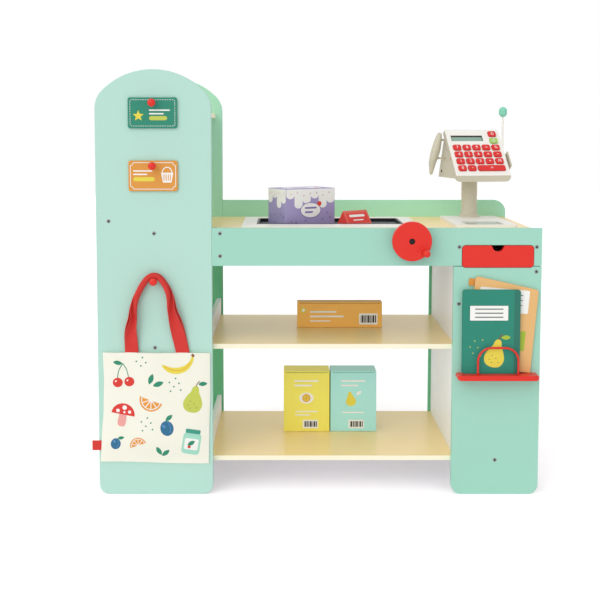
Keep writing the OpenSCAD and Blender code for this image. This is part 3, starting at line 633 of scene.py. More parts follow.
screw_mesh = bmesh.new()
screw_head(screw_mesh)
first_screw = screw_mesh.verts[:] + screw_mesh.edges[:] + screw_mesh.faces[:]
for face_y, way in ((FRONT_Y, 90), (BACK_Y, -90)):
    for x, z in SCREWS:
        spot = Matrix.Translation(at(x, face_y, z)) @ Matrix.Rotation(math.radians(way), 4, "X")
        copies = bmesh.ops.duplicate(screw_mesh, geom=first_screw)["geom"]
        bmesh.ops.transform(screw_mesh, matrix=spot, verts=only(copies, "BMVert"))
bmesh.ops.delete(screw_mesh, geom=only(first_screw, "BMVert"), context="VERTS")
outward(screw_mesh)
stand_in("panel_screws", screw_mesh, [steel, socket], weighted=False)

# Belt: its section runs along the top, round the drive roller, back below and round the idler
IDLER_X, DRIVE_X, AXIS_Z = 280.5, 560.5, 463.5
BELT_OUT, BELT_IN, BELT_Y, RIB, GROOVE = 15.5, 14.0, (93, 211), 4, 0.5


def belt_x(v):
    """How far a vertex lies from the idler's axis towards the drive roller, in mm."""
    return (v.co - at(IDLER_X, 0, 0)).x / MM


belt_mesh = bmesh.new()
section = [belt_mesh.verts.new(at(IDLER_X, y, AXIS_Z + r)) for y, r in (
    (BELT_Y[0], BELT_OUT), (BELT_Y[1], BELT_OUT), (BELT_Y[1], BELT_IN), (BELT_Y[0], BELT_IN))]
end = section + [belt_mesh.edges.new((section[k - 1], section[k])) for k in range(4)]
run = int(DRIVE_X - IDLER_X)
for step, centre in ((1, DRIVE_X), (-1, IDLER_X)):
    end = bmesh.ops.spin(belt_mesh, geom=end, dvec=(step * MM, 0, 0), axis=(0, 1, 0), angle=0,
                         steps=run)["geom_last"]
    end = bmesh.ops.spin(belt_mesh, geom=end, cent=at(centre, 0, AXIS_Z), axis=(0, 1, 0), angle=math.pi,
                         steps=30)["geom_last"]
outward(belt_mesh)
for side in (1, -1):
    level = (AXIS_Z + side * BELT_OUT) * MM
    outer = [v for v in belt_mesh.verts if abs(v.co.z - level) < 0.01 * MM and -0.1 < belt_x(v) < run + 0.1]
    cut = [v for v in outer if round(belt_x(v)) % RIB == 0]
    bmesh.ops.translate(belt_mesh, verts=cut, vec=-UP * side * GROOVE * MM)
stand_in("conveyor_belt", belt_mesh, [rubber], weighted=False)

# Black gasket of the belt's window, dark partly as painted shade of the opening's inner wall: a flat rim on
# the plate and a collar below it
WINDOW_X, WINDOW_Y = (286.5, 554.5), (91, 213)
RIM_TOP, RIM_FOOT, COLLAR_FOOT = 485.7, 485.02, 479.2


def frame_ring(bm, grow_out, grow_in, low, high):
    """A rectangular ring round the belt's window: a plate inset, opened and drawn up."""
    (x0, x1), (y0, y1) = WINDOW_X, WINDOW_Y
    wide, deep = x1 - x0 + 2 * grow_out, y1 - y0 + 2 * grow_out
    plate = bmesh.ops.create_grid(bm, x_segments=1, y_segments=1, size=0.5)["verts"]
    for v in plate:
        v.co = at((x0 + x1) / 2 + v.co.x * wide, (y0 + y1) / 2 + v.co.y * deep, low)
    inner = plate[0].link_faces[0]
    ring = bmesh.ops.inset_region(bm, faces=[inner], thickness=(grow_out - grow_in) * MM, use_boundary=True,
                                  use_even_offset=True)["faces"]
    bmesh.ops.delete(bm, geom=[inner], context="FACES_ONLY")
    raised = bmesh.ops.extrude_face_region(bm, geom=ring, use_keep_orig=True)["geom"]
    bmesh.ops.translate(bm, verts=only(raised, "BMVert"), vec=UP * (high - low) * MM)


gasket_and_shade_mesh = bmesh.new()
frame_ring(gasket_and_shade_mesh, 3.0, -1.6, RIM_FOOT, RIM_TOP)
frame_ring(gasket_and_shade_mesh, -0.05, -1.5, COLLAR_FOOT, RIM_FOOT)
outward(gasket_and_shade_mesh)
rounded(gasket_and_shade_mesh, sharp_edges(gasket_and_shade_mesh, 60), 0.25 * MM)
piece("belt_window_gasket_and_painted_shade", gasket_and_shade_mesh, [black], "stall")

# Crank whose hub recess in its middle is painted black as painted shade
HUB_SHADE_R, HUB_SHADE_Y = 5.2, -24.7


def crank_part(f):
    """The crank is red, and its hub recess is painted black as painted shade."""
    c = f.calc_center_median()
    near = math.hypot(c.x - at(DRIVE_X, 0, 0).x, c.z - AXIS_Z * MM) < HUB_SHADE_R * MM
    return 1 if near and c.y > at(0, HUB_SHADE_Y, 0).y else 0


dress("crank_wheel", [coral, black], radius=1.4, segments=3, pick=crank_part)

# Till: the head turns with HEAD, and FACE lies on its leaning key field
POST_X, POST_Y, HEAD_TURN, FACE_LEAN = 704, 240, 12, 52
FACE_FOOT = Vector((0, -75, 572))
HEAD = Matrix.Translation(at(POST_X, POST_Y, 0)) @ Matrix.Rotation(math.radians(HEAD_TURN), 4, "Z")
FACE = HEAD @ Matrix.Translation(FACE_FOOT * MM) @ Matrix.Rotation(math.radians(FACE_LEAN), 4, "X")
TO_HEAD, TO_FACE = HEAD.inverted(), FACE.inverted()
HEAD_W, PLATE_TOP_Z = 112, 487.05
DISPLAY_X, DISPLAY_Y, DISPLAY_SINK = -14, 90.5, 2
FIELD_X, FIELD_Y, FIELD_Z = 51, (9, 108), -10
# The hole in the cover's left side, which is painted black as painted shade
HOLE_SHADE_X, HOLE_SHADE_Y, HOLE_SHADE_Z, HOLE_SHADE_R = (-55, -46), 18, 578, 3.2


def stand_part(f):
    """The stand's plate is white, and its collar and post are ivory darkened by painted shade."""
    return 1 if f.calc_center_median().z > PLATE_TOP_Z * MM else 0


def on_key_field(mid):
    """If a place lies among the keys, on the face or just below it."""
    p = TO_FACE @ mid
    return abs(p.x) < FIELD_X * MM and FIELD_Y[0] * MM < p.y < FIELD_Y[1] * MM and p.z > FIELD_Z * MM


def cover_part(f):
    """The rear cover is ivory darkened by painted shade, and the hole in its left side is painted black as
    painted shade.
    """
    p = TO_HEAD @ f.calc_center_median()
    in_hole_shade = math.hypot(p.y - HOLE_SHADE_Y * MM, p.z - HOLE_SHADE_Z * MM) < HOLE_SHADE_R * MM
    return 1 if in_hole_shade and HOLE_SHADE_X[0] * MM < p.x < HOLE_SHADE_X[1] * MM else 0


def on_shell_side(u, v, h):
    return HEAD @ (Vector((-HEAD_W / 2 - h, -u, v)) * MM)


def on_display(u, v, h):
    return FACE @ (Vector((u + DISPLAY_X, v + DISPLAY_Y, h - DISPLAY_SINK)) * MM)


dress("register_stand", [ivory, ivory_painted_shade], radius=1.4, segments=3, shortest=0.5, pick=stand_part)
slab("scan_pane", middle=(POST_X, 92.5, 483.7), size=(69.6, 74.6, 2.4), radius=0.3, material=pane_glass,
     body="stall")
shell_mesh = copied("register_shell")
rounded(shell_mesh, sharp_edges(shell_mesh, keep=lambda m: not on_key_field(m)), 2.2 * MM, 4)
rims = sharp_edges(shell_mesh, 60, keep=lambda m: on_key_field(m) and abs((TO_FACE @ m).z) < 0.1 * MM)
rounded(shell_mesh, rims, 0.25 * MM)
# The key field is white, and the body round it is ivory darkened by painted shade
paint(shell_mesh, lambda f: 0 if f.normal.dot(FACE.to_3x3() @ UP) > 0.93 else 1)
stand_in("register_shell", shell_mesh, [ivory, ivory_painted_shade])
dress("register_rear_cover", [ivory_painted_shade, black], radius=1.0, segments=3, shortest=0.6, pick=cover_part)
dress("display_window", [glass], radius=0.2)
art = [fill(rect(42.6, 604, 7, 2, 0.6, 128), "red_ink")]
printed("head_side_switch", "register_head", art, on_shell_side)
# A thin dark border round the display, with a wider bar along its top as a painted shadow of the recess
RIM_AND_SHADOW_BARS = ((0, 5.6, 64.6, 2.6), (0, -6.4, 64.6, 0.9), (-32, 0, 0.9, 13.4), (32, 0, 0.9, 13.4))
printed("display_rim_and_painted_shadow", "register_head", [fill(rect(*bar), "black_plastic") for bar in RIM_AND_SHADOW_BARS], on_display)

# Keys: name, column from the middle and row from below
KEY_DX, KEY_DY, KEY_FOOT, KEY_RISE, KEY_RIM_Z = 20, 16.6, 17, 3, 2.5
KEY_ROWS = ("0 point", "1 2 3 plus memory", "4 5 6 times minus", "7 8 9 divide percent")
KEYS = [(name, col - 2, row) for row, names in enumerate(KEY_ROWS) for col, name in enumerate(names.split())]
KEYS += [("equals", 1, 0), ("clear", 2, 4), ("power", 2, 5)]
LEGENDS = dict(divide="÷", percent="%", times="×", minus="−", plus="+", memory="M", point=".", equals="=",
               clear="C")


def on_keys(u, v, h):
    return FACE @ (Vector((u, v, KEY_RISE + h)) * MM)


for name, col, row in KEYS:
    key_mesh = copied("key_" + name)
    rims = sharp_edges(key_mesh, 60, keep=lambda m: (TO_FACE @ m).z > KEY_RIM_Z * MM)
    rounded(key_mesh, rims, 0.8 * MM, 3)
    u, v = col * KEY_DX, KEY_FOOT + row * KEY_DY
    if name == "power":
        signs = [stroke(oval(u, v - 0.3, 2.5, n=24, start=-235, end=55), 0.9),
                 area(rect(u, v + 1.9, 0.9, 3.2))]
    else:
        signs = [lettering(LEGENDS.get(name, name), 14.0 if name == "point" else 9.0, u, v)]
    for sign in signs:
        add_print(key_mesh, sign, on_keys, 1)
    stand_in("key_" + name, key_mesh, [key_green if name == "clear" else key_red, finishes["white_ink"]])

# Microphone: white stem and mint ball
mic_mesh = bmesh.new()
mic_place = HEAD @ Matrix.Translation(Vector((58, -26, 0)) * MM)
lathe(mic_mesh, [(0, 596), (1.7, 596), (2, 596.4), (2, 685), (1.6, 688), (0, 688)], mic_place, 24, 1)
ball = oval(0, 693, 8, n=9, start=-80, end=-8) + oval(0, 697, 8, n=10, end=80)
lathe(mic_mesh, [(0, 685)] + ball + [(0, 705)], mic_place, 40)
outward(mic_mesh)
stand_in("microphone", mic_mesh, [mint_plastic, ivory])


def heading(line, i):
    """The direction of a line of (across, up) points at one of them."""
    a, b = line[max(i - 1, 0)], line[min(i + 1, len(line) - 1)]
    return Vector((b[0] - a[0], 0, b[1] - a[1])).normalized()


# Handset: a tube that swells along its length, through knots of (across, up, radius)
KNOTS = ((-63, 652, 4.6), (-66.5, 637, 7.4), (-70, 622, 8.8), (-73.5, 609.5, 8.4), (-77, 597, 7.3),
         (-78.6, 585, 5.2), (-80, 573, 2.9))
HANDSET_Y, TIP_LEAN, TIP_SHARE = 2, 0.8, 0.7
tube = spline(KNOTS, 6)
belts = len(tube) + 1
handset_mesh = bmesh.new()
for v in bmesh.ops.create_uvsphere(handset_mesh, u_segments=32, v_segments=belts, radius=1.0)["verts"]:
    # A ball's belts become the tube's sections and its poles the tips
    i = round(math.acos(max(-1.0, min(1.0, v.co.z))) / math.pi * belts) - 1
    if 0 <= i < len(tube):
        x, z, r = tube[i]
        along = heading(tube, i)
        t = math.atan2(v.co.y, v.co.x)
        spot = Vector((x, HANDSET_Y + r * math.sin(t), z)) + Vector((along.z, 0, -along.x)) * r * math.cos(t)
    else:
        (x, z, r), way = (KNOTS[0], 1) if i < 0 else (KNOTS[-1], -1)
        spot = Vector((x + way * TIP_LEAN, HANDSET_Y, z + way * r * TIP_SHARE))
    v.co = HEAD @ (spot * MM)
outward(handset_mesh)
# The handset's ivory is darkened all over as painted shade
stand_in("scanner_handset", handset_mesh, [ivory_painted_shade], smooth=70)


# Tote bag: one cloth folded at its foot and sewn at both sides, with two straps over the lowest peg.
# On the cloth, s runs from its left edge to its right edge and t from its foot to its mouth.
BAG_COLS, BAG_ROWS, CLOTH_T = 56, 60, 0.7
BAG_LEFT = ((0, 3.0), (0.2, 5.2), (0.5, 9.4), (0.75, 10.8), (1, 9.4))
BAG_RIGHT = ((0, 198.4), (0.25, 199.5), (0.7, 202.0), (1, 201.8))
STRAP_FEET = (0.275, 0.745)


def clamped(x):
    return min(max(x, 0.0), 1.0)


def ease(x):
    """A share that starts and ends softly."""
    x = clamped(x)
    return x * x * (3 - 2 * x)


def between(table, t):
    """A smooth value from (place, value) pairs."""
    for (a, p), (b, q) in zip(table, table[1:]):
        if t <= b:
            return p + (q - p) * ease((t - a) / (b - a))
    return table[-1][1]


def bag_foot(s):
    """The height of the bag's foot, which hangs a little lower on the right."""
    return 61 - 3.4 * s + 0.7 * math.sin(2 * math.pi * s)


def bag_head(s):
    """The height of the bag's mouth, which the straps lift a little."""
    return 261.4 - 0.8 * s + 0.8 * sum(math.exp(-((s - f) / 0.1) ** 2) for f in STRAP_FEET)


def bag_belly(s, t):
    """How far the bag swells: not at its seams, and most in its lower half."""
    return max(math.sin(math.pi * s), 0.0) ** 0.7 * ease(t / 0.22) * (1 - 0.42 * t)


def bag_front(s, t):
    """The depth of the front, with upright folds under the mouth and slanting ones in the middle."""
    folds = 0.9 * math.sin(math.pi * s) * t * math.cos(2 * math.pi * 2.1 * s + 0.3)
    folds += 0.7 * math.sin(math.pi * s) * math.sin(math.pi * t) * math.sin(7 * s + 5 * t)
    return -(2.4 + 8.2 * bag_belly(s, t) + folds)


def bag_back(s, t):
    """The depth of the back, which lies on the panel."""
    return -(0.8 + 0.4 * bag_belly(s, t))


def bag_side(depth, drop):
    """A place function for the front or the back of the cloth."""
    def place(s, t):
        x0, x1 = between(BAG_LEFT, t), between(BAG_RIGHT, t)
        z0, z1 = bag_foot(s), bag_head(s)
        return at(x0 + (x1 - x0) * s, depth(s, t), z0 + (z1 - z0) * t - drop * t)
    return place


def thicken(sheet, name, thickness, offset):
    """Gives a sheet a thickness in mm."""
    wall = sheet.modifiers.new(name, "SOLIDIFY")
    wall.thickness = thickness * MM
    wall.offset = offset


bag_mesh = bmesh.new()
seams = grid_sheet(bag_mesh, BAG_COLS, BAG_ROWS, bag_side(bag_front, 0))
seams += grid_sheet(bag_mesh, BAG_COLS, BAG_ROWS, bag_side(bag_back, 0.8))
bmesh.ops.bridge_loops(bag_mesh, edges=seams)
outward(bag_mesh)
if sum(f.normal.y for f in bag_mesh.faces if f.calc_center_median().y < at(0, -4, 0).y) > 0:
    bmesh.ops.reverse_faces(bag_mesh, faces=bag_mesh.faces)
bag = piece("tote_bag_cloth", bag_mesh, [bag_cloth], "tote_bag", ["tote_bag"], smooth=70,
            weighted=False)
thicken(bag, "cloth_thickness", CLOTH_T, -1)

# The straps' middle line as (across, up), and the heights where they turn, curl and come forward as
# (start, length). Some heights differ on the left and on the right of the peg.
STRAP_LINE = spline((
    (62, 226), (62, 246), (61.6, 262), (62, 297), (68.5, 330), (75.5, 357), (83.5, 375), (92, 388.3),
    (97.3, 393.6), (103, 395.3), (108.7, 393.6), (114.5, 387.5), (123, 373), (131.5, 350), (141.4, 312),
    (150.4, 274), (152.6, 262), (152.8, 246), (152.8, 226)), 7)
STRAP_W, STRAP_T, STRAP_Y = 24, 1.2, -8.6
STRAP_TURN = {-1: (318, 55), 1: (335, 50)}
STRAP_CURL = {-1: (255, 85), 1: (270, 95)}
STRAP_FORTH = (262, 110)


def risen(z, span):
    """How far a height has come on a span, from 0 to 1."""
    start, length = span
    return ease((z - start) / length)


def strap(name, foot_y, raised, curl, shift):
    """A ribbon that lies flat at its feet, turns on its way up and curls to lie over the peg."""
    def ribbon_point(s, t):
        i = round(t * (len(STRAP_LINE) - 1))
        x, z = STRAP_LINE[i]
        side = -1 if x < PEG_X else 1
        along = heading(STRAP_LINE, i)
        out, front = Vector((-along.z, 0, along.x)), Vector((0, -1, 0))
        angle = -math.pi / 2 * (1 - risen(z, STRAP_TURN[side]))
        lateral = front * math.cos(angle) + out * math.sin(angle)
        lift = out * math.cos(angle) - front * math.sin(angle)
        forth = risen(z, STRAP_FORTH)
        x += shift * math.sin(math.pi * forth) * side
        centre = Vector((x, foot_y + (STRAP_Y - foot_y) * forth, z))
        bend = risen(z, STRAP_CURL[side]) / curl
        across, up = STRAP_W * (s - 0.5), 0
        if bend > 1e-4:
            across, up = math.sin(across * bend) / bend, (1 - math.cos(across * bend)) / bend
        return at(*(centre + lift * raised + lateral * across + lift * up))

    bm = bmesh.new()
    grid_sheet(bm, 14, len(STRAP_LINE) - 1, ribbon_point)
    outward(bm)
    ribbon = piece(name, bm, [strap_cloth], "tote_bag", smooth=70, weighted=False)
    thicken(ribbon, "webbing_thickness", STRAP_T, 0)
    return ribbon


back_strap = strap("tote_strap_back", foot_y=-2.6, raised=0.0, curl=7.0, shift=2.0)
front_strap = strap("tote_strap_front", foot_y=-2.7, raised=1.5, curl=5.4, shift=0.0)
side_label = slab("tote_side_label", middle=(-3, -1.6, 91), size=(18, 0.9, 18), radius=0.25,
                  material=strap_cloth, body="tote_bag")


# Print motifs
def lines(x, y, lengths, pitch, thick, ink, level=0):
    """Left-set bars that stand for lines of writing."""
    return [fill(rect(x + w / 2, y - i * pitch, w, thick, thick / 2, n=3), ink, level)
            for i, w in enumerate(lengths)]


def dashes(points, dash, gap, width, ink, level=0):
    """A dashed line round a closed outline."""
    out = []
    left, drawing, run = dash, True, [points[0]]
    for a, b in zip(points, points[1:] + points[:1]):
        span = math.hypot(b[0] - a[0], b[1] - a[1])
        done = 0.0
        while span - done > left:
            done += left
            p = (a[0] + (b[0] - a[0]) * done / span, a[1] + (b[1] - a[1]) * done / span)
            if drawing:
                out.append(trace(run + [p], width, ink, level))
            drawing = not drawing
            run, left = [p], dash if drawing else gap
        left -= span - done
        run.append(b)
    return out


def star(x, y, tip, dip, n=5):
    """A star's outline from the radius of its tips and of the dips between them."""
    rays = [(dip if i % 2 else tip, math.radians(90 + 180 * i / n)) for i in range(2 * n)]
    return [(x + r * math.cos(a), y + r * math.sin(a)) for r, a in rays]


def leaf_shape(x, y, length, width, turn=0):
    """A leaf's outline about its middle, pointed at both ends."""
    half = [(length * (i / 12 - 0.5), width / 2 * math.sin(math.pi * i / 12) ** 0.8) for i in range(13)]
    return move(half + [(u, -v) for u, v in half[-2:0:-1]], x, y, 1, turn)


def dots(x, y, spots, ink, r):
    return [fill(oval(x + u, y + v, r, n=12), ink) for u, v in spots]


def barcode(x, y, w, h):
    """A white field with bars of three widths and gaps of two."""
    out = [fill(rect(x, y, w, h, 1.2), "white_ink")]
    u = x - w * 0.4
    for i in range(9):
        bar = w * (0.03 + 0.03 * ((i * 5) % 3))
        out.append(fill(rect(u + bar / 2, y, bar, h * 0.66), "black_plastic", 1))
        u += bar + w * (0.026 + 0.02 * ((i * 7) % 2))
    return out


def placer(x, y, k, turn):
    """A function that scales, turns and moves the points of a motif."""
    return lambda points: move(points, x, y, k, turn)


def pear(x, y, k, turn, skin="pear_ink", dot="olive_ink", leaf_colour="leaf_ink"):
    put = placer(x, y, k, turn)
    body = spline([(0, -25), (13, -21), (18, -9), (14, 4), (8, 14), (5.5, 23), (0, 27), (-5.5, 23), (-8, 14),
                   (-14, 4), (-18, -9), (-13, -21)], 6, True)
    stalk = spline([(0, 26), (1, 32), (4, 37)], 5)
    out = [fill(put(body), skin), trace(put(stalk), 1.6 * k, "brown_ink", 1),
           fill(put(leaf_shape(11, 33, 17, 8, 15)), leaf_colour, 1)]
    for spot in put([(-8, -12), (-3, -17), (3, -8), (9, -14), (-5, -4)]):
        out.append(fill(oval(*spot, 0.9 * k, n=10), dot, 1))
    return out


def facing(y):
    """A place function for a face that looks to the front."""
    return plane(at(0, y, 0), Vector((1, 0, 0)), UP)


# Cards on the two upper pegs
CARD_Y, GIFT_Z, COUPON_Z = -4.02, 689.3, 578.3
dress("gift_card", [finishes["green_card"]], radius=0.5, segments=3)
dress("coupon_card", [finishes["orange_card"]], radius=0.5, segments=3)
art = dashes(rect(PEG_X, GIFT_Z, 79, 46, 3), 2.6, 1.7, 0.8, "white_ink")
art += [fill(oval(78, 684, 11.5), "leaf_ink"), fill(star(78, 684, 10, 4.4), "yellow_ink", 1)]
art += lines(97, 694, (37, 26), 6.2, 2.5, "white_ink") + lines(97, 680, (32,), 5, 7.5, "pear_ink")
printed("gift_card_print", "gift_card", art, facing(CARD_Y))
notched = []
for turn, (sx, sy) in zip((0, 90, 180, 270), ((1, 1), (-1, 1), (-1, -1), (1, -1))):
    notched += oval(PEG_X + sx * 40, COUPON_Z + sy * 23.4, 5, n=8, start=270 + turn, end=180 + turn)
art = [trace(notched, 1.1, "white_ink", closed=True),
       fill([(117, 584), (139, 584), (135.5, 566.5), (120.5, 566.5)], "white_ink"),
       trace(oval(128, 584, 8.5, 9.5, n=16, end=180), 1.7, "white_ink")]
art += [fill(rect(122.4 + 3.75 * i, 575.4, 1.5, 11.5, 0.7), "orange_card", 1) for i in range(4)]
art += lines(68, 587, (34, 25), 6, 2.4, "white_ink") + lines(68, 572.5, (38,), 5, 7.5, "yellow_ink")
printed("coupon_card_print", "coupon_card", art, facing(CARD_Y))


def cover_edges(bm, first_inner):
    """Sharp edges of the covers, whose material numbers come before those of the inner sheets."""
    return [e for e in sharp_edges(bm, 60) if all(f.material_index < first_inner for f in e.link_faces)]


# Notebook: two covers round a block of pages, with a spine
NOTE_X, NOTE_Z, NOTE_W, NOTE_H, NOTE_Y = 704.5, 300.3, 103, 151, -12.2
note_mesh = bmesh.new()
for y in (-5.21, NOTE_Y + 1.01):
    add_print(note_mesh, area(rect(NOTE_X, NOTE_Z, NOTE_W, NOTE_H, 4)), facing(y), 0, thick=0.95)
for i in range(8):
    trim = 2 * (1.6 + 0.25 * ((i * 3) % 4))
    page = rect(NOTE_X - 0.2, NOTE_Z, NOTE_W - trim, NOTE_H - trim, 1.5)
    add_print(note_mesh, area(page), facing(-6.25 - 0.61 * i), 2, thick=0.52)
rounded(note_mesh, cover_edges(note_mesh, 1), 0.3 * MM)
back_bone = [(754.4, 226.4), (755.9, 226.9), (755.9, 373.7), (754.4, 374.2)]
add_print(note_mesh, area(back_bone), facing(-5.3), 1, thick=6.8)
stand_in("notebook", note_mesh, [finishes[n] for n in ("green_cover", "spine_green", "paper")])
art = [fill(rect(750.2, NOTE_Z, 10.6, NOTE_H - 2, 2), "spine_green"),
       fill(rect(700, 334.2, 70, 28.5, 1.8), "spine_green"),
       fill(rect(700, 334.2, 68, 26.5, 1.2), "white_ink", 1)]
art += lines(674.5, 341.5, (51, 51, 51), 7.3, 2.1, "grey_ink", 2)
art += pear(712, 261, 1.0, -14, "yellow_ink", "olive_ink", "lime_ink")
art += dots(672, 262, ((0, 0), (9, 10), (14, -5), (3, 22), (-5, 11), (17, 24)), "pear_ink", 1.2)
printed("notebook_print", "notebook", art, facing(NOTE_Y - 0.02))

# Folder: two leaves with papers between them, leaning on the panel
LEAN = math.radians(5)
FOLDER_X, FOLDER_Z, FOLDER_W, FOLDER_H, FOLDER_UP = 776.5, 224.8, 115, 151, 14


def leaning(y):
    """A place function in the folder's plane, from its lower right corner."""
    return plane(at(FOLDER_X, y, FOLDER_Z), Vector((math.cos(LEAN), 0, -math.sin(LEAN))),
                 Vector((math.sin(LEAN), 0, math.cos(LEAN))))


def folder_leaf(trim=0.0, r=6.0):
    """The folder's outline, with two round upper corners and an upper edge that climbs to the left."""
    sink = r * (1 - math.cos(math.atan2(FOLDER_UP, FOLDER_W)))
    right = oval(-trim - r, FOLDER_H - trim - r - sink, r, n=6, end=90)
    left = oval(-FOLDER_W + trim + r, FOLDER_H + FOLDER_UP - trim - r, r, n=6, start=90, end=180)
    return [(-trim, trim)] + right + left + [(-FOLDER_W + trim, trim)]


folder_mesh = bmesh.new()
add_print(folder_mesh, area(folder_leaf()), leaning(-1.31), 0, thick=0.85)
add_print(folder_mesh, area(rect(-119, 154, 13, 13, 1.5)), leaning(-1.31), 1, thick=0.85)
for i in range(3):
    add_print(folder_mesh, area(folder_leaf(3.5 + 0.4 * i, 2)), leaning(-2.3 - 0.55 * i), 2, thick=0.45)
add_print(folder_mesh, area(folder_leaf()), leaning(-4.0), 0, thick=0.85)
add_print(folder_mesh, area([(-0.9, 0.3), (0, 0.3), (0, 141), (-0.9, 141)]), leaning(-1.35), 0, thick=3.4)
rounded(folder_mesh, cover_edges(folder_mesh, 2), 0.2 * MM)
stand_in("folder", folder_mesh, [finishes[n] for n in ("folder_card", "folder_tab", "paper")])
art = [fill(rect(-60, 126.5, 89, 42, 2.5), "white_ink")]
art += lines(-52, 138, (25.5, 25.5, 25.5), 9, 1.6, "grey_ink", 1)
art += [fill(rect(-20, 56, 9, 36, 1), "lime_ink")]
printed("folder_print", "folder", art, leaning(-4.92))


def turned(degrees):
    """The directions along and behind the front of a box that is turned on the counter."""
    a = math.radians(degrees)
    return Vector((math.cos(a), math.sin(a), 0)), Vector((-math.sin(a), math.cos(a), 0))


# Dessert carton
CARTON = at(338, 97, 479.3)
CARTON_W, CARTON_D, CARTON_H, ICING_TRIM = 108, 68, 70, 0.8
CARTON_ALONG, CARTON_BACK = turned(30)


def drips(w, h, seed):
    """White icing that runs down from the top edge in uneven tongues."""
    n = max(3, round(w / 18))
    half = (w - 2 * ICING_TRIM) / n / 2
    pts = [(ICING_TRIM, h - ICING_TRIM)]
    for i in range(n):
        deep = 12 + 9 * ((i * 2 + seed) % 3)
        pts += oval(ICING_TRIM + half * (2 * i + 1), h - deep, half, -half * 0.8, n=8, start=180, end=0)
    return pts + [(w - ICING_TRIM, h - ICING_TRIM)]


dress("dessert_carton", [finishes["lavender_card"]], radius=0.7, segments=3)
to_right, to_back = CARTON_ALONG * CARTON_W * MM, CARTON_BACK * CARTON_D * MM
carton_sides = (("front", CARTON, CARTON_ALONG, CARTON_W), ("left", CARTON + to_back, -CARTON_BACK, CARTON_D),
                ("right", CARTON + to_right, CARTON_BACK, CARTON_D),
                ("back", CARTON + to_right + to_back, -CARTON_ALONG, CARTON_W))
for seed, (side, corner, along, wide) in enumerate(carton_sides):
    mid = wide / 2
    low = [(wide * 0.4 * math.cos(2.4 * k + seed), 9 * math.sin(4.1 * k + seed)) for k in range(7)]
    high = [(wide * (0.13 * k - 0.4), 3 * math.sin(2.2 * k)) for k in range(7)]
    art = [fill(drips(wide, CARTON_H, seed), "white_ink")]
    art += dots(mid, 14, low, "violet_ink", 1.8) + dots(mid, 60, high, "pink_ink", 1.4)
    if wide == CARTON_W:
        art += [fill(oval(mid, 29, 23, 15), "violet_ink", 1), fill(oval(mid, 29, 21.6, 13.6), "white_ink", 2)]
        art += lines(mid - 13, 33.5, (26, 18), 8, 3.4, "violet_ink", 3)
        art += [fill(oval(mid + 19, 41, 4.6), "red_ink", 3)]
    printed("dessert_carton_print_" + side, "dessert_carton", art, plane(corner, along, UP))
art = [fill(rect(54, 34, 76, 36, 8), "white_ink")] + lines(32, 40, (44, 30), 11, 4, "violet_ink", 1)
art += [fill(oval(84, 28, 4.2), "red_ink", 1), fill(rect(54, 3.4, 100, 0.7), "violet_ink")]
carton_top = plane(CARTON + UP * CARTON_H * MM, CARTON_ALONG, CARTON_BACK)
printed("dessert_carton_print_top", "dessert_carton", art, carton_top)

# Biscuit box: a roof-shaped pack with a print on each slope
BISCUIT = at(456, 102, 479.3)
BISCUIT_W, BISCUIT_D, BISCUIT_H = 62, 34, 28
BISCUIT_ALONG, BISCUIT_BACK = turned(40)
dress("biscuit_box", [finishes["red_card"], finishes["rose_card"]], radius=0.6, segments=3,
      pick=lambda f: 0 if abs(f.normal.dot(BISCUIT_ALONG)) > 0.7 else 1)
art = [fill(rect(31, 16.4, 54, 21, 3), "red_card")]
art += lines(11, 21, (40,), 6, 5, "white_ink", 1) + lines(18, 12, (26,), 6, 2.2, "white_ink", 1)
far_corner = BISCUIT + BISCUIT_ALONG * BISCUIT_W * MM + BISCUIT_BACK * BISCUIT_D * MM
for side, corner, way in (("front", BISCUIT, 1), ("back", far_corner, -1)):
    slope = (BISCUIT_BACK * way * BISCUIT_D / 2 + UP * BISCUIT_H).normalized()
    printed("biscuit_box_print_" + side, "biscuit_box", art, plane(corner, BISCUIT_ALONG * way, slope))

# Long box and the two upright boxes on the shelves
LONG_Y, UPRIGHT_Y, UPRIGHT_PARTING = 175.98, 169.98, 424.5
dress("long_box", [finishes["amber_card"]], radius=0.7, segments=3)
art = lines(385, 305, (52, 66), 9, 3.4, "white_ink") + lines(385, 287, (40,), 9, 2.4, "white_ink")
art += barcode(499, 291, 36, 22) + [fill(rect(443, 321.6, 158, 0.8), "rust_ink")]
art += [fill(oval(372, 308, 5.5), "yellow_ink"), fill(oval(372, 308, 3), "white_ink", 1)]
printed("long_box_print", "long_box", art, facing(LONG_Y))

dress("upright_boxes", [finishes["yellow_card"], finishes["mint_card"]], radius=0.7, segments=3,
      pick=lambda f: 0 if f.calc_center_median().x < at(UPRIGHT_PARTING, 0, 0).x else 1)
art = lines(354, 169, (48, 36), 9, 3.2, "white_ink") + [fill(oval(378, 135, 14, 11), "white_ink")]
art += [fill(oval(378, 135, 8), "orange_ink", 1), fill(oval(378, 135, 6.4), "yellow_ink", 2)]
ray = rect(3.4, 0, 5.4, 0.7, 0.3, n=2)
art += [fill(move(ray, 378, 135, 1, 45 * k), "orange_ink", 3) for k in range(8)]
art += lines(356, 108, (44, 30), 7, 2.4, "white_ink") + barcode(386, 83, 30, 17)
art += [fill(rect(378.5, 185.6, 82, 0.8), "olive_ink")]
printed("yellow_box_print", "upright_boxes", art, facing(UPRIGHT_Y))
art = lines(446, 169, (48, 34), 9, 3.2, "white_ink") + pear(465, 133, 0.55, 8, "yellow_ink")[:1]
art += [fill(leaf_shape(481, 145, 14, 6, 35), "white_ink")]
art += lines(448, 106, (44,), 7, 2.4, "white_ink") + barcode(476, 83, 30, 17)
art += [fill(rect(470.5, 185.6, 82, 0.8), "teal_ink")]
printed("mint_box_print", "upright_boxes", art, facing(UPRIGHT_Y))


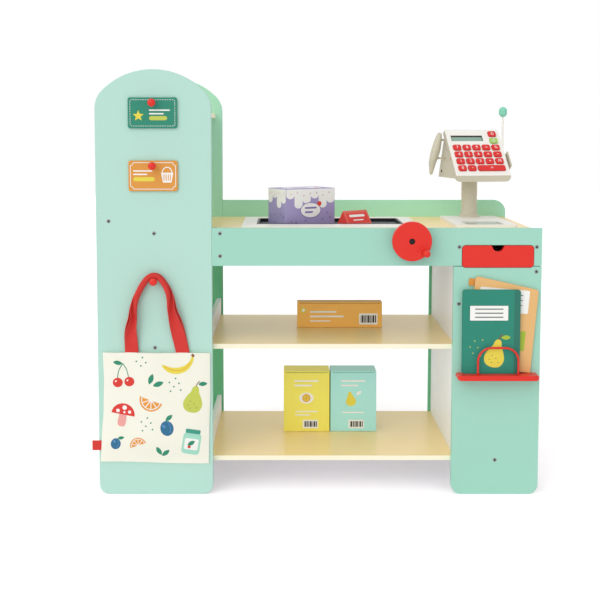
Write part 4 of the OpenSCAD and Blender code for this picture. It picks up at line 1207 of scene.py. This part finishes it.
# Prints on the bag: fruit, a mushroom and a jar, set on the cloth's own curve
PRINT_FOOT_Z, PRINT_SPAN_Z = 60, 202
RIND, PULP, CORE = 0.86, 0.78, 0.14


def on_bag(u, v, h):
    """A place on the bag's front for a point in stall coordinates, found in a few steps."""
    t = (v - PRINT_FOOT_Z) / PRINT_SPAN_Z
    for _ in range(3):
        x0, x1 = between(BAG_LEFT, clamped(t)), between(BAG_RIGHT, clamped(t))
        s = clamped((u - x0) / (x1 - x0))
        t = clamped((v - bag_foot(s)) / (bag_head(s) - bag_foot(s)))
    return at(u, bag_front(s, t) - h, v)


def cherries(x, y, k, turn):
    put = placer(x, y, k, turn)
    out = [trace(put(spline(stalk, 6)), 1.5 * k, "leaf_ink")
           for stalk in ([(-9, -6), (-4, 8), (6, 20)], [(12, -8), (11, 8), (6, 20)])]
    for u, v in ((-10, -14), (12, -16)):
        out += [fill(put(oval(u, v, 9.5, 9)), "red_ink", 1),
                fill(put(oval(u - 3, v + 3, 2.2, 1.3, 40, 14)), "white_ink", 2)]
    return out + [fill(put(leaf_shape(-3, 23, 18, 8, -20)), "leaf_ink", 1)]


def orange_slice(x, y, r, turn):
    out = [fill(oval(x, y, r, r, turn, 28, 0, 180), "orange_ink"),
           fill(oval(x, y, r * RIND, r * RIND, turn, 28, 0, 180), "white_ink", 1)]
    for a in range(turn + 3, turn + 183, 36):
        tip = move([(r * CORE, 0)], x, y, 1, a + 15)
        out.append(fill(tip + oval(x, y, r * PULP, n=6, start=a, end=a + 30), "orange_ink", 2))
    return out


def banana(x, y, k, turn):
    put = placer(x, y, k, turn)
    body = spline([(-30, 6), (-20, -7), (-4, -13), (14, -10), (27, 2), (32, 14), (29, 15), (22, 6), (11, 0),
                   (-3, -1), (-17, 3), (-28, 10)], 6, True)
    ridge = spline([(-26, 6), (-14, -3), (-2, -7), (12, -5), (24, 4)], 6)
    return [fill(put(body), "yellow_ink"), trace(put(ridge), 1.1 * k, "orange_ink", 1),
            fill(put(rect(30.5, 15.5, 5, 6, 1, 30)), "brown_ink", 1)]


def plum(x, y, k, turn):
    put = placer(x, y, k, turn)
    crease = spline([(3, 13), (7, 3), (4, -9)], 6)
    return [fill(put(oval(0, 0, 12.5, 14.5)), "navy_ink"), trace(put(crease), 1.2 * k, "blue_ink", 1),
            fill(put(oval(-5, 5, 2.6, 4, 30, 14)), "blue_ink", 1),
            fill(put(leaf_shape(8, 19, 17, 8, 30)), "leaf_ink", 1)]


def mushroom(x, y, k, turn):
    put = placer(x, y, k, turn)
    stem = spline([(-7, 0), (-8, -16), (-5, -24), (5, -24), (8, -16), (7, 0)], 5)
    cap = oval(0, -1, 23, 22, n=26, end=180)
    out = [fill(put(stem), "pink_ink"), fill(put(cap), "red_ink", 1)]
    for u, v, r in ((-11, 5, 3.6), (1, 13, 4.4), (12, 6, 3.2), (2, 4, 2.2)):
        out.append(fill(oval(*put([(u, v)])[0], r * k, n=18), "white_ink", 2))
    return out


def jar(x, y, k, turn):
    put = placer(x, y, k, turn)
    out = [fill(put(rect(0, -4, 34, 42, 7)), "aqua_ink"), fill(put(rect(0, 20, 28, 8, 2)), "teal_ink", 1),
           fill(put(rect(0, -5, 26, 22, 3)), "white_ink", 1)]
    a, b = put([(0, -5)])[0]
    return out + [fill(leaf_shape(a, b + 2, 16 * k, 8 * k, turn + 40), "leaf_ink", 2),
                  fill(oval(a - 4 * k, b - 5 * k, 3 * k, n=16), "red_ink", 2)]


SPOTS = ((0, 0), (9, 6), (-8, 8), (3, 15), (-6, -8), (12, -6))
LEAVES = ((96, 214, 20, 9, 70), (109, 205, 20, 9, 20), (109, 82, 18, 8, 120), (121, 78, 18, 8, 40))
art = banana(146, 236, 0.95, 12) + cherries(43, 222, 0.95, 10) + pear(172, 176, 0.95, -12)
art += orange_slice(96, 176, 21, 160) + mushroom(45, 150, 0.92, -10) + plum(124, 124, 0.95, 12)
art += jar(168, 99, 0.95, -9) + orange_slice(72, 92, 15, 20) + plum(31, 95, 0.72, -18)
art += [fill(leaf_shape(*place), "leaf_ink") for place in LEAVES]
for x, y, spots in ((137, 200, SPOTS), (86, 128, SPOTS), (78, 238, SPOTS[:4])):
    art += dots(x, y, spots, "leaf_ink", 1.5)
printed("tote_bag_print", "tote_bag", art, on_bag, finest=5.0)

# Floor, light and camera
FLOOR_LIFT, AMBIENT, KEY_ENERGY, FILL_ENERGY = 0.3, 0.66, 0.66, 0.66
floor_mesh = bmesh.new()
bmesh.ops.create_grid(floor_mesh, x_segments=1, y_segments=1, size=9.0)
floor_data = bpy.data.meshes.new("floor")
floor_mesh.to_mesh(floor_data)
floor_mesh.free()
floor = bpy.data.objects.new("floor", floor_data)
floor_white = finish("floor_white", "FDFCFC", rough=0.75, shade=0.99, blotch=1.0, depth=0.0)
floor_data.materials.append(floor_white)
scene.collection.objects.link(floor)


def seen_share(tree, share):
    """A share for rays that look at the backdrop, straight, mirrored or through glass, not for its light."""
    path = tree.nodes.new("ShaderNodeLightPath")
    seen = path.outputs["Is Camera Ray"]
    for ray in ("Is Glossy Ray", "Is Transmission Ray"):
        seen = calc(tree, "MAXIMUM", seen, path.outputs[ray])
    return calc(tree, "MULTIPLY", seen, share)


floor_tree = floor_white.node_tree
floor_shader = floor_tree.nodes["Principled BSDF"]
floor_shader.inputs["Emission Color"].default_value = colour("FFF4F8")
floor_tree.links.new(seen_share(floor_tree, FLOOR_LIFT), floor_shader.inputs["Emission Strength"])


def lamp(name, energy, spread, came_from):
    """A broad sun whose light comes from a direction."""
    data = bpy.data.lights.new(name, "SUN")
    data.energy = energy
    data.angle = math.radians(spread)
    obj = bpy.data.objects.new(name, data)
    obj.rotation_euler = Vector(came_from).to_track_quat("Z", "Y").to_euler()
    scene.collection.objects.link(obj)
    return obj


key_light = lamp("key_light", KEY_ENERGY, 60, (-0.35, -0.6, 1.0))
fill_light = lamp("fill_light", FILL_ENERGY, 45, (-0.65, -1.0, 0.45))

world = bpy.data.worlds.new("studio")
world.use_nodes = True
scene.world = world
sky = world.node_tree
backdrop = sky.nodes["Background"]
mix = sky.nodes.new("ShaderNodeMix")
mix.data_type = "RGBA"
mix.inputs[MIX_A].default_value = (AMBIENT, AMBIENT, AMBIENT, 1)
mix.inputs[MIX_B].default_value = (1, 1, 1, 1)
sky.links.new(seen_share(sky, 1.0), mix.inputs[0])
sky.links.new(mix.outputs[MIX_OUT], backdrop.inputs["Color"])
backdrop.inputs["Strength"].default_value = 1.0
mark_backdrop(floor, key_light, fill_light)

# The camera stands where the photo was taken from
scene.view_settings.view_transform = "Standard"
lens = bpy.data.cameras.new("camera")
lens.sensor_width = 36
lens.lens = 64.76
lens.shift_x, lens.shift_y = 0.0216, -0.13
eye = bpy.data.objects.new("camera", lens)
eye.location = (-0.0574, -2.0513, 0.6559)
eye.rotation_euler = (math.pi / 2 - 0.0833, 0, 0)
scene.collection.objects.link(eye)
scene.camera = eye

low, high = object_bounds()
